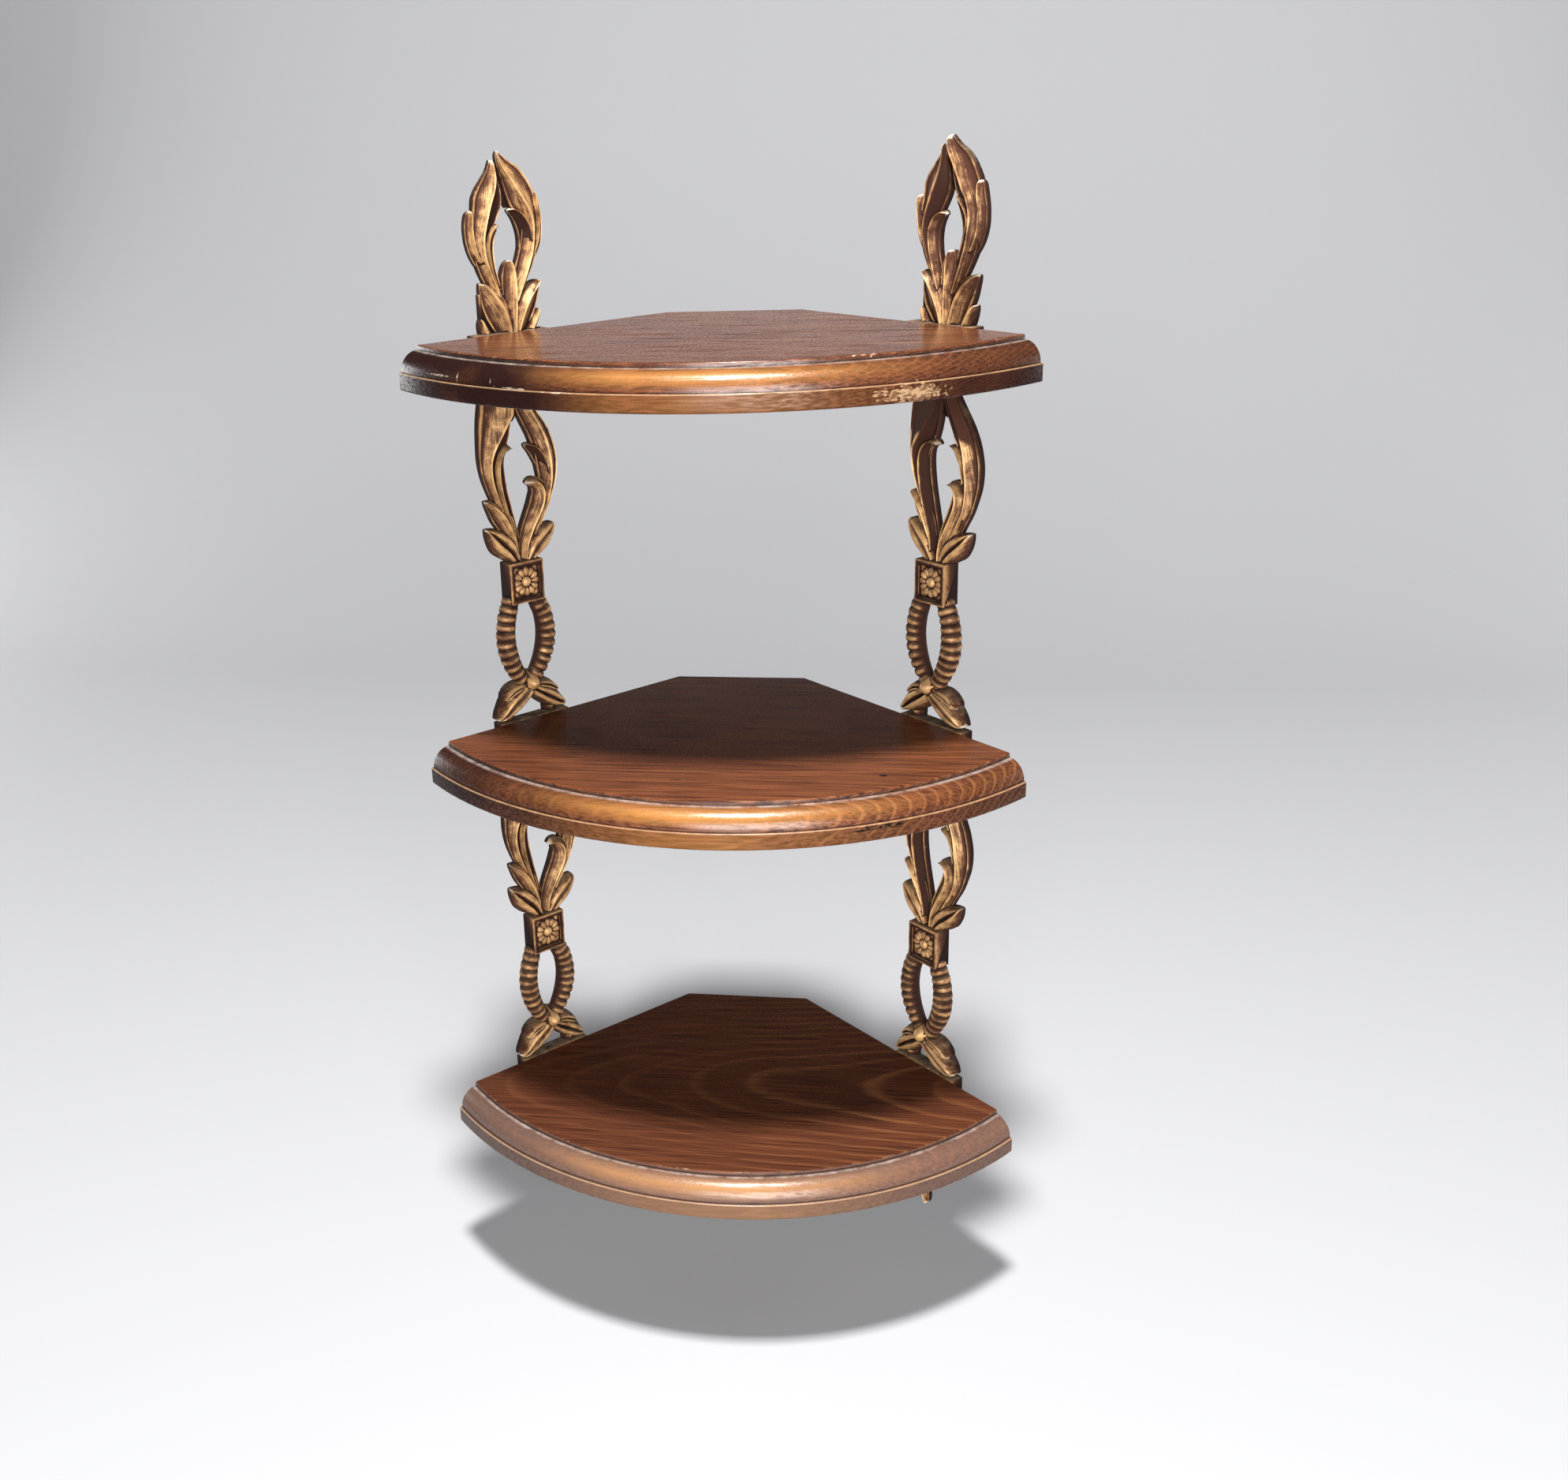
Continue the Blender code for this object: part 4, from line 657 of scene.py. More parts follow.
LEAF_EDGE_GOLD, LEAF_FACE_GOLD, VEIN_UMBER = 0.46, 0.4, 0.75
STEM_ROUND, STEM_EDGE_GOLD, STEM_GOLD = 0.8, 0.35, 0.6
CREASE_ANGLE, CREASE_UMBER = math.radians(60.0), 0.8
HANGER_RECESS = (25.6, 1.3, 14.6)
HEAD_POCKET = (7.0, 3.9, 11.6)
SCREW_SPACING = 22.0
HOLE_MOUTH, HOLE_NECK, HOLE_DEPTH, HOLE_OPENING, HOLE_SIDES = 4.1, 2.0, 2.4, 0.2, 32
UPRIGHT = Matrix.Rotation(math.radians(90.0), 4, "X")
# Below the top board the right casting was hardly rubbed, and a little less than the left on its finial.
PATINA_RAGGED, PATINA_TOP = (-54.0, -42.0), (-10.0, -20.0)
PATINA_FINIAL = (8.0, 20.0, 0.13)

board_tops = [1.0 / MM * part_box(board)[1].z for board in BOARDS]
thick = board_thick / MM
tier_pitch = board_tops[0] - board_tops[1]
bow_height = tier_pitch - thick - BLOCK_SIZE[2] - LOOP_HEIGHT
casting_parts = bpy.data.collections.new("casting_parts")
scene.collection.children.link(casting_parts)


def ease(low, high, value):
    """A smooth step from 0 at low to 1 at high."""
    share = min(1.0, max(0.0, (value - low) / (high - low)))
    return share * share * (3.0 - 2.0 * share)


def side_profile(kind, share):
    """Height and gold rub of a strand's face, from its edge (0) to its crest (1)."""
    if kind == "leaf":
        swell = math.sin(math.pi / 2.0 * min(1.0, share / LEAF_SWELL))
        vein = ease(VEIN_START, 1.0, share)
        face = LEAF_FACE_GOLD * ease(*LEAF_RISE, share)
        return swell - VEIN_DEPTH * vein, LEAF_EDGE_GOLD + face - VEIN_UMBER * vein
    if kind == "stem":
        return math.sin(math.pi / 2.0 * share) ** STEM_ROUND, STEM_EDGE_GOLD + STEM_GOLD * share
    if kind == "web":
        return 0.0, WEB_GOLD
    if kind == "hollow":
        rim = math.exp(-((share / HOLLOW_RIM_WIDTH) ** 2))
        gold = max(HOLLOW_GOLD, HOLLOW_RIM_GOLD * rim, ease(HOLLOW_CREST, 1.0, share))
        return share ** HOLLOW_CURVE + HOLLOW_RIM_HEIGHT * rim, gold
    face = (share ** FACE_CURVE - CREST_ROUND * share ** CREST_SHARPNESS) / (1.0 - CREST_ROUND)
    rim = RIM_HEIGHT * math.exp(-((share / RIM_WIDTH) ** 2))
    edge = 1.0 - ease(*RIM_FADE, share)
    gold = FACE_GOLD - FACE_DIM * ease(*FACE_FADE, share)
    return face + rim, max(gold, ease(CREST_START, 1.0, share), RIM_GOLD * edge)


def lean_at(leans, share):
    """Where the crest lies across a strand, from its root through its middle to its tip."""
    root, middle, tip = leans
    if share < 0.5:
        return root + (middle - root) * ease(0.0, 0.5, share)
    return middle + (tip - middle) * ease(0.5, 1.0, share)


def strand_section(kinds, lean):
    """Points across a strand from one edge to the other: across, height share, gold rub."""
    sides = []
    for way, kind in zip((-1.0, 1.0), kinds):
        half = [(way * across, height, rub) for across, height, rub in EDGE_ROUND]
        for share in SIDE_STEPS:
            height, rub = side_profile(kind, share)
            start = way * SIDE_START
            half.append((start + (lean - start) * share, EDGE_SHARE + (1.0 - EDGE_SHARE) * height, rub))
        sides.append(half)
    height, rub = side_profile(kinds[0], 1.0)
    crest = (lean, EDGE_SHARE + (1.0 - EDGE_SHARE) * height, rub)
    return sides[0] + [crest] + sides[1][::-1]


def smooth(stations):
    """Stations spread along a smooth curve through those drawn."""
    path = [Vector(station) for station in stations]
    ends = [2.0 * path[0] - path[1]] + path + [2.0 * path[-1] - path[-2]]
    fine = []
    for span, (a, b, c, d) in enumerate(zip(ends, ends[1:], ends[2:], ends[3:])):
        last = span == len(path) - 2
        for k in range(STATION_STEPS):
            t = k / STATION_STEPS
            t = 1.0 - (1.0 - t) ** 2 if last else t
            fine.append(0.5 * (2.0 * b + (c - a) * t + (2.0 * a - 5.0 * b + 4.0 * c - d) * t ** 2
                               + (3.0 * b - a - 3.0 * c + d) * t ** 3))
    return fine + [path[-1]]


def round_tip(rings):
    """Rounds off the free end of a strand in width and height."""
    end = rings[-1]
    length = TIP_LENGTH + end[2]
    for ring in rings:
        near = min(1.0, math.dist(ring[:2], end[:2]) / length)
        fullness = math.sqrt(max(TIP_LEAST, 1.0 - (1.0 - near) ** 2))
        ring[2] *= fullness
        ring[3] *= TIP_FLAT + (1.0 - TIP_FLAT) * fullness


def cast(name, mesh, rub=None, tip=None, lane=None, run=None):
    """Adds one form of the casting, with the gold, wear and brush strokes that its points take."""
    rest = [0.0] * len(mesh.vertices)
    for label, values in (("rub", rub), ("tip", tip), ("lane", lane), ("run", run)):
        if label not in mesh.attributes:
            give(mesh, label, values or rest)
    face_outwards(mesh)
    form = bpy.data.objects.new(name, mesh)
    casting_parts.objects.link(form)
    return form


def cast_strand(name, strand, top, order):
    """A leafy strand lofted along its stations, its back a little behind the wall plane."""
    kind, leans, stations = strand
    way = 1 if stations[-1][1] > stations[0][1] else -1
    kinds = (kind.split() * 2)[:2][::way]
    rings = smooth(stations)
    round_tip(rings)
    back = BACK_TRIM + BACK_STAGGER * order
    points, rub, tip, lane, run = [], [], [], [], []
    travelled = LANE_APART * order
    for k, (across, up, half, ridge) in enumerate(rings):
        before, after = rings[max(k - 1, 0)], rings[min(k + 1, len(rings) - 1)]
        along = Vector((after[0] - before[0], after[1] - before[1])).normalized()
        travelled += math.dist((across, up), before[:2])
        lean = min(LEAN_LIMIT, lean_at(leans, k / (len(rings) - 1)))
        section = strand_section(kinds, way * lean)
        for share, height, gold in section:
            out = -back if height == 0.0 else ridge * height
            points.append((across + along.y * share * half, -out, top + up - along.x * share * half))
            rub.append(gold)
            tip.append(ease(TIP_SHARE, 1.0, k / (len(rings) - 1)) * gold)
            lane.append(LANE_APART * order + share * half)
            run.append(travelled)
    count = len(section)
    faces = [tuple(range(count)), tuple(range(len(points) - count, len(points)))]
    for k in range(len(rings) - 1):
        for j in range(count):
            here, there = k * count + j, k * count + (j + 1) % count
            faces.append((here, there, there + count, here + count))
    mesh = bpy.data.meshes.new(name)
    mesh.from_pydata(points, [], faces)
    return cast(name, mesh, rub, tip, lane, run)


def mesh_of(bm, name):
    """The drawn shape as a mesh."""
    mesh = bpy.data.meshes.new(name)
    bm.to_mesh(mesh)
    bm.free()
    return mesh


def cast_box(name, low, high, gold, cuts=0):
    """A block with eased edges, or with plain edges and its faces cut into a grid."""
    bm = bmesh.new()
    bmesh.ops.create_cube(bm, size=1.0)
    bmesh.ops.scale(bm, vec=Vector(high) - Vector(low), verts=bm.verts)
    bmesh.ops.translate(bm, vec=(Vector(high) + Vector(low)) / 2.0, verts=bm.verts)
    if cuts:
        bmesh.ops.subdivide_edges(bm, edges=bm.edges, cuts=cuts, use_grid_fill=True)
    else:
        bmesh.ops.bevel(bm, geom=bm.edges, offset=BLOCK_EASE, segments=2, profile=0.5, affect="EDGES")
    mesh = mesh_of(bm, name)
    return cast(name, mesh, [gold] * len(mesh.vertices))


def bead(name, halves, centre=(0.0, 0.0, 0.0), taper=0.0):
    """A rounded bead, narrower towards one end by the taper."""
    bm = bmesh.new()
    bmesh.ops.create_uvsphere(bm, u_segments=BEAD_SIDES, v_segments=BEAD_RINGS, radius=1.0)
    for vertex in bm.verts:
        vertex.co.y *= 1.0 + taper * vertex.co.x
    bmesh.ops.scale(bm, vec=halves, verts=bm.verts)
    bmesh.ops.translate(bm, vec=centre, verts=bm.verts)
    return mesh_of(bm, name)


def ribbed_arm_tree():
    """A round arm along a drawn path, grooved between its ribs on the side that shows."""
    tree, given = new_tree("ribbed_arm", {
        "Ribs": "Int", "Points": "Int", "Sides": "Int", "Rib Depth": "Float", "Outward": "Vector"})
    path = add(tree, "GeometryNodeMeshToCurve", {0: given["Drawn"]})
    path = add(tree, "GeometryNodeResampleCurve", {"Curve": path, "Count": given["Points"]})
    girth = add(tree, "GeometryNodeInputNamedAttribute", {"Name": "girth"}, data_type="FLOAT")
    share = add(tree, "GeometryNodeSplineParameter")
    path = add(tree, "GeometryNodeStoreNamedAttribute", {
        "Geometry": path, "Name": "along", "Value": share}, data_type="FLOAT", domain="POINT")
    ring = add(tree, "GeometryNodeCurvePrimitiveCircle", {"Resolution": given["Sides"], "Radius": 1.0})
    tube = add(tree, "GeometryNodeCurveToMesh", {
        "Curve": path, "Profile Curve": ring, "Scale": girth, "Fill Caps": True})
    along = add(tree, "GeometryNodeInputNamedAttribute", {"Name": "along"}, data_type="FLOAT")
    beats = add(tree, "ShaderNodeMath", {0: given["Ribs"], 1: math.pi}, operation="MULTIPLY")
    beat = add(tree, "ShaderNodeMath", {0: along, 1: beats}, operation="MULTIPLY")
    wave = add(tree, "ShaderNodeMath", {0: beat}, operation="SINE")
    wave = add(tree, "ShaderNodeMath", {0: wave}, operation="ABSOLUTE")
    rib = add(tree, "ShaderNodeMath", {0: wave, 1: RIB_ROUND}, operation="POWER")
    facing = add(tree, "GeometryNodeInputNormal")
    shown = add(tree, "ShaderNodeVectorMath", {0: facing, 1: given["Outward"]}, take="Value",
                operation="DOT_PRODUCT")
    shown = add(tree, "ShaderNodeMapRange", {"Value": shown, "From Min": -0.55, "From Max": 0.15},
                interpolation_type="SMOOTHSTEP")
    groove = add(tree, "ShaderNodeMath", {0: rib, 1: 1.0}, operation="SUBTRACT")
    groove = add(tree, "ShaderNodeMath", {0: groove, 1: shown}, operation="MULTIPLY")
    sink = add(tree, "ShaderNodeMath", {0: groove, 1: given["Rib Depth"]}, operation="MULTIPLY")
    offset = add(tree, "ShaderNodeVectorMath", {0: facing, "Scale": sink}, operation="SCALE")
    gold = add(tree, "ShaderNodeMath", {0: groove, 1: RIB_GOLD}, operation="ADD")
    dim = add(tree, "ShaderNodeMapRange", {"Value": shown, "To Min": RIB_DIM, "To Max": 0.0})
    gold = add(tree, "ShaderNodeMath", {0: gold, 1: dim}, operation="ADD")
    tube = add(tree, "GeometryNodeStoreNamedAttribute", {
        "Geometry": tube, "Name": "rub", "Value": gold}, data_type="FLOAT", domain="POINT")
    tube = add(tree, "GeometryNodeSetPosition", {"Geometry": tube, "Offset": offset})
    end_tree(tree, tube, given["Material"])
    return tree


def daisy_tree():
    """A ring of petals round the middle of the rosette."""
    tree, given = new_tree("daisy", {"Petals": "Int", "Ring": "Float"})
    ring = add(tree, "GeometryNodeMeshCircle", {"Vertices": given["Petals"], "Radius": given["Ring"]})
    order = add(tree, "GeometryNodeInputIndex")
    step = add(tree, "ShaderNodeMath", {0: math.tau, 1: given["Petals"]}, operation="DIVIDE")
    angle = add(tree, "ShaderNodeMath", {0: order, 1: step}, operation="MULTIPLY")
    turn = add(tree, "ShaderNodeCombineXYZ", {"Z": angle})
    petals = add(tree, "GeometryNodeInstanceOnPoints", {
        "Points": ring, "Instance": given["Drawn"], "Rotation": turn})
    end_tree(tree, petals, given["Material"])
    return tree


# Cast alloy painted umber and rubbed with gold bronze: the gold takes on crests, rims and open faces,
# the umber stays in the hollows and on the sides, and the tips are worn to the pale ground beneath.
GRAIN_SIZE, PATCH_SIZE = 0.45 * MM, 5.0 * MM
STROKE_LENGTH, STROKE_WIDTH = 14.0, 0.55
PATCH_HOLD, GRAIN_HOLD, STROKE_HOLD, UNRUBBED_HOLD = 0.8, 0.3, 0.7, -1.3
TIP_WEAR, GOLD_METAL, GOLD_GLOSS, STROKE_RELIEF = 0.75, 0.35, -0.25, 0.8
UMBER_SHEEN, GOLD_SHEEN = 0.1, 0.25
UMBER, SHADED_UMBER = linear("#3a2117"), linear("#190c09")
DULL_GOLD, BRIGHT_GOLD = linear("#785334"), linear("#cfa46e")
WORN_GROUND, DUST = linear("#eadcc6"), linear("#a08c70")


def antique_gold():
    """Umber paint under a rubbed gold that follows the casting's own rub and tip values."""
    material, tree = new_material("antique_gold_over_umber")
    coords = add(tree, "ShaderNodeTexCoord", take="Object")
    rub, tip, lane, run, bare = (
        add(tree, "ShaderNodeAttribute", attribute_name=label, take="Fac")
        for label in ("rub", "tip", "lane", "run", "unrubbed"))
    grain = add(tree, "ShaderNodeTexNoise", {"Vector": coords, "Scale": 1.0 / GRAIN_SIZE, "Detail": 3.0})
    patch = add(tree, "ShaderNodeTexNoise", {
        "Vector": coords, "Scale": 1.0 / PATCH_SIZE, "Detail": 4.0, "Roughness": 0.6})
    stroke = add(tree, "ShaderNodeCombineXYZ", {"X": lane, "Y": run})
    stroke = add(tree, "ShaderNodeMapping", {
        "Vector": stroke, "Scale": (1.0 / STROKE_WIDTH, 1.0 / STROKE_LENGTH, 1.0)})
    stroke = add(tree, "ShaderNodeTexNoise", {"Vector": stroke, "Scale": 1.0, "Detail": 3.0})
    hold = rub
    for part, weight in ((patch, PATCH_HOLD), (grain, GRAIN_HOLD), (stroke, STROKE_HOLD),
                         (bare, UNRUBBED_HOLD)):
        hold = add(tree, "ShaderNodeMath", {0: part, 1: weight, 2: hold}, operation="MULTIPLY_ADD")
    cover = add(tree, "ShaderNodeMapRange", {"Value": hold, "From Min": 1.28, "From Max": 1.75},
                interpolation_type="SMOOTHSTEP")
    wear = add(tree, "ShaderNodeMath", {0: tip, 1: TIP_WEAR, 2: patch}, operation="MULTIPLY_ADD")
    facing = add(tree, "ShaderNodeNewGeometry", take="Normal")
    level = add(tree, "ShaderNodeSeparateXYZ", {0: facing}, take="Z")
    dusty = add(tree, "ShaderNodeMath", {0: level, 1: patch}, operation="MULTIPLY")

    # Shares: what gives each, where that starts and ends to count, and the share at both
    shares = {}
    for label, source, start, end, first, last in (
            ("bright", hold, 1.48, 2.0, 0.0, 1.0),
            ("open", rub, 0.05, 0.45, 0.0, 1.0),
            ("wear", wear, 0.75, 1.1, 0.0, 0.85),
            ("dusty", dusty, 0.25, 0.7, 0.0, 0.4),
            ("gloss", grain, 0.3, 0.7, 0.65, 0.85)):
        shares[label] = add(tree, "ShaderNodeMapRange", {
            "Value": source, "From Min": start, "From Max": end, "To Min": first, "To Max": last})

    gold = add(tree, "ShaderNodeMix", {"Factor": shares["bright"], 6: DULL_GOLD, 7: BRIGHT_GOLD}, take=2,
               data_type="RGBA")
    colour = SHADED_UMBER
    for share, paint in ((shares["open"], UMBER), (cover, gold), (shares["wear"], WORN_GROUND),
                         (shares["dusty"], DUST)):
        colour = add(tree, "ShaderNodeMix", {"Factor": share, 6: colour, 7: paint}, take=2,
                     data_type="RGBA")
    metal = add(tree, "ShaderNodeMath", {0: shares["wear"], 1: -GOLD_METAL, 2: GOLD_METAL},
                operation="MULTIPLY_ADD")
    metal = add(tree, "ShaderNodeMath", {0: metal, 1: cover}, operation="MULTIPLY")
    gloss, sheen, relief = (
        add(tree, "ShaderNodeMath", {0: part, 1: weight, 2: rest}, operation="MULTIPLY_ADD")
        for part, weight, rest in ((cover, GOLD_GLOSS, shares["gloss"]), (cover, GOLD_SHEEN, UMBER_SHEEN),
                                   (stroke, STROKE_RELIEF, grain)))
    bump = add(tree, "ShaderNodeBump", {"Height": relief, "Strength": 0.4, "Distance": 0.2 * MM})
    paint = add(tree, "ShaderNodeBsdfPrincipled", {
        "Base Color": colour, "Metallic": metal, "Roughness": gloss, "Normal": bump,
        "Specular IOR Level": sheen})
    add(tree, "ShaderNodeOutputMaterial", {0: paint})
    return material


def shaded_by_creases(mesh):
    """Takes the gold out of the creases where forms of the casting meet."""
    bm = bmesh.new()
    bm.from_mesh(mesh)
    bm.verts.ensure_lookup_table()
    rub = bm.verts.layers.float["rub"]
    crease = [0.0] * len(bm.verts)
    for edge in bm.edges:
        depth = -edge.calc_face_angle_signed(0.0) / CREASE_ANGLE
        for vertex in edge.verts:
            crease[vertex.index] = max(crease[vertex.index], min(1.0, depth))
    for vertex in bm.verts:
        vertex[rub] *= 1.0 - CREASE_UMBER * max(0.0, crease[vertex.index])
    bm.to_mesh(mesh)
    bm.free()


def cast_arms(tree, gold_paint, top):
    """The two ribbed arms of a loop."""
    for side, stations in LOOP_ARMS.items():
        fine = smooth(stations)
        drawn = bpy.data.meshes.new("arm_path")
        drawn.from_pydata([(across, -ridge / 2.0, top + up) for across, up, half, ridge in fine],
                          [(i, i + 1) for i in range(len(fine) - 1)], [])
        give(drawn, "girth", [half for across, up, half, ridge in fine])
        arm = grow(tree, drawn, {
            "Ribs": LOOP_RIBS, "Points": LOOP_RIBS * RIB_POINTS + 1, "Sides": ARM_SIDES,
            "Rib Depth": RIB_DEPTH, "Outward": Vector((side, -1.0, 0.0)).normalized(),
            "Material": gold_paint})
        cast("ribbed_arm", arm)


def cast_block(tree, gold_paint, top):
    """The rosette block: a framed sunk field with a daisy."""
    half, depth, height = BLOCK_SIZE[0] / 2.0, BLOCK_SIZE[1], BLOCK_SIZE[2]
    block = cast_box("block", (BLOCK_SHIFT - half, -depth, top - height),
                     (BLOCK_SHIFT + half, BACK_TRIM, top), BLOCK_GOLD)
    inner = half - BLOCK_FRAME
    field = cast_box("field", (BLOCK_SHIFT - inner, BLOCK_RECESS - depth, top - height + BLOCK_FRAME),
                     (BLOCK_SHIFT + inner, -2.0 * depth, top - BLOCK_FRAME), FIELD_GOLD, FIELD_CUTS)
    unite(block, [field], "DIFFERENCE")
    petal = bead("petal", PETAL_HALVES, taper=PETAL_TAPER)
    crests = [ease(0.0, PETAL_CREST, vertex.co.z / PETAL_HALVES[2]) for vertex in petal.vertices]
    give(petal, "rub", [PETAL_GOLD + PETAL_GOLD * crest for crest in crests])
    petals = grow(tree, petal, {"Petals": DAISY_PETALS, "Ring": PETAL_RING, "Material": gold_paint})
    boss = bead("boss", BOSS_HALVES)
    middle = Matrix.Translation((BLOCK_SHIFT, BLOCK_RECESS - depth, top - height / 2.0))
    for name, mesh, gold in (("petals", petals, None), ("boss", boss, [BOSS_GOLD] * len(boss.vertices))):
        mesh.transform(middle @ UPRIGHT)
        cast(name, mesh, gold)


def unite(body, forms, operation):
    """Joins forms to a body or cuts them from it, and removes them."""
    group = bpy.data.collections.new(operation)
    for form in forms:
        group.objects.link(form)
    join = body.modifiers.new(operation, "BOOLEAN")
    join.operation = operation
    join.operand_type = "COLLECTION"
    join.collection = group
    join.solver = "MANIFOLD"
    graph = bpy.context.evaluated_depsgraph_get()
    body.data = bpy.data.meshes.new_from_object(body.evaluated_get(graph))
    body.modifiers.clear()
    for form in forms:
        bpy.data.objects.remove(form)
    bpy.data.collections.remove(group)


def cast_bracket(gold_paint):
    """The whole bracket in millimetres, its wall face on Y = 0 and its front towards -Y."""
    arms, daisy = ribbed_arm_tree(), daisy_tree()
    half_pad = PAD_WIDTH / 2.0
    groups = [(FINIAL, board_tops[0])]
    for level in board_tops:
        cast_box("pad", (-half_pad, -CASTING_THICK, level - thick),
                 (half_pad, BACK_TRIM, level), PAD_GOLD)
    half_fan = FAN_SIZE[0] / 2.0
    cast_box("fan_back", (-half_fan, -FAN_SIZE[1], board_tops[0] - thick / 2.0),
             (half_fan, 2.0 * BACK_TRIM, board_tops[0] + FAN_SIZE[2]), FIELD_GOLD)
    for level in board_tops[:-1]:
        block_top = level - thick - bow_height
        loop_top = block_top - BLOCK_SIZE[2]
        groups += [(BOW, level - thick), (LOOP, loop_top)]
        cast_block(daisy, gold_paint, block_top)
        cast_arms(arms, gold_paint, loop_top)
        knot = bead("knot", KNOT_HALVES, Vector(KNOT_CENTRE) + Vector((0.0, 0.0, loop_top)))
        cast("knot", knot, [BOSS_GOLD] * len(knot.vertices))
    groups.append((DROP, board_tops[-1] - thick))
    order = 0
    for strands, top in groups:
        for name, strand in strands.items():
            order += 1
            cast_strand(name, strand, top, order)
    body, *forms = casting_parts.objects
    unite(body, forms, "UNION")
    cut_wall_side(body)
    shaded_by_creases(body.data)
    return body


def cut_wall_side(body):
    """Cuts the back flat, with the hanger's recess, room for a wall screw's head and the screw holes."""
    reach = 3.0 * tier_pitch
    cutters = [cast_box("behind_wall", (-reach, 0.0, -reach), (reach, reach, reach), 0.0)]
    for width, depth, height in (HANGER_RECESS, HEAD_POCKET):
        cutters.append(cast_box("recess", (-width / 2.0, -depth, -height / 2.0),
                                (width / 2.0, CASTING_THICK, height / 2.0), 0.0))
    for level in board_tops:
        for across in (-SCREW_SPACING / 2.0, SCREW_SPACING / 2.0):
            bm = bmesh.new()
            bmesh.ops.create_cone(bm, cap_ends=True, segments=HOLE_SIDES, radius1=HOLE_MOUTH,
                                  radius2=HOLE_NECK, depth=HOLE_DEPTH)
            hole = mesh_of(bm, "screw_hole")
            middle = (across, HOLE_OPENING - HOLE_DEPTH / 2.0, level - thick / 2.0)
            hole.transform(Matrix.Translation(middle) @ UPRIGHT)
            cutters.append(cast("screw_hole", hole))
    unite(body, cutters, "DIFFERENCE")


wall_faces = {mount["name"]: mount["pos_m"] for mount in frame["record"]["mounts"]}
hang_x = wall_faces["right_wall_face"][0]
gold_paint = antique_gold()
casting = cast_bracket(gold_paint)
for side, way, patina in (("left", -1.0, 0.0), ("right", 1.0, 1.0)):
    mesh = casting.data.copy()
    mesh.materials.clear()
    mesh.materials.append(gold_paint)
    heights = [vertex.co.z - board_tops[0] for vertex in mesh.vertices]
    held = [max(ease(*PATINA_RAGGED, height) * ease(*PATINA_TOP, height),
                PATINA_FINIAL[2] * ease(*PATINA_FINIAL[:2], height)) for height in heights]
    give(mesh, "unrubbed", [patina * value for value in held])
    on_wall = Matrix.Translation((way * hang_x, 0.0, 0.0)) @ Matrix.Rotation(-way * WALL_TURN, 4, "Z")
    mesh.transform(on_wall @ Matrix.Scale(MM, 4))
    show(side + "_bracket_casting", mesh, "antique_gold_casting", side + "_bracket")
bpy.data.objects.remove(casting)
bpy.data.collections.remove(casting_parts)

# Wood screws
# Twelve slotted countersunk steel screws, two through each bracket pad into the edge of its board.
# They are turned from wire and zinc plated, and only their heads show, from the wall side.
SCREW_LENGTH, SCREW_POINT = 28.0 * MM, 4.0 * MM
SCREW_HEAD, SCREW_SHANK = 3.5 * MM, 1.75 * MM
SCREW_SINK = 0.3 * MM
SLOT_LENGTH, SLOT_WIDTH, SLOT_DEPTH = 8.0 * MM, 0.7 * MM, 0.9 * MM
TURNED_SIDES, SEAM_REACH = 32, 0.001 * MM
ZINC, ZINC_DULL = linear("#a9a59c"), linear("#6f6a61")
PLATING_SIZE = 2.5 * MM
SCRATCH_LENGTH, SCRATCH_WIDTH = 6.0 * MM, 0.15 * MM


def plated_steel(name, bright, dull):
    """Steel sheet or wire with a dull plating, lightly scratched."""
    material, tree = new_material(name)
    coords = add(tree, "ShaderNodeTexCoord", take="Object")
    cloud = add(tree, "ShaderNodeTexNoise", {
        "Vector": coords, "Scale": 1.0 / PLATING_SIZE, "Detail": 4.0})
    drawn = add(tree, "ShaderNodeMapping", {
        "Vector": coords, "Scale": (1.0 / SCRATCH_LENGTH, 1.0 / SCRATCH_LENGTH, 1.0 / SCRATCH_WIDTH)})
    scratch = add(tree, "ShaderNodeTexNoise", {"Vector": drawn, "Scale": 1.0, "Detail": 2.0})
    tone = add(tree, "ShaderNodeMapRange", {"Value": cloud, "From Min": 0.35, "From Max": 0.65})
    colour = add(tree, "ShaderNodeMix", {"Factor": tone, 6: bright, 7: dull}, take=2, data_type="RGBA")
    gloss = add(tree, "ShaderNodeMapRange", {"Value": scratch, "To Min": 0.25, "To Max": 0.55})
    bump = add(tree, "ShaderNodeBump", {"Height": scratch, "Strength": 0.2, "Distance": 0.05 * MM})
    steel = add(tree, "ShaderNodeBsdfPrincipled", {
        "Base Color": colour, "Metallic": 1.0, "Roughness": gloss, "Normal": bump})
    add(tree, "ShaderNodeOutputMaterial", {0: steel})
    return material


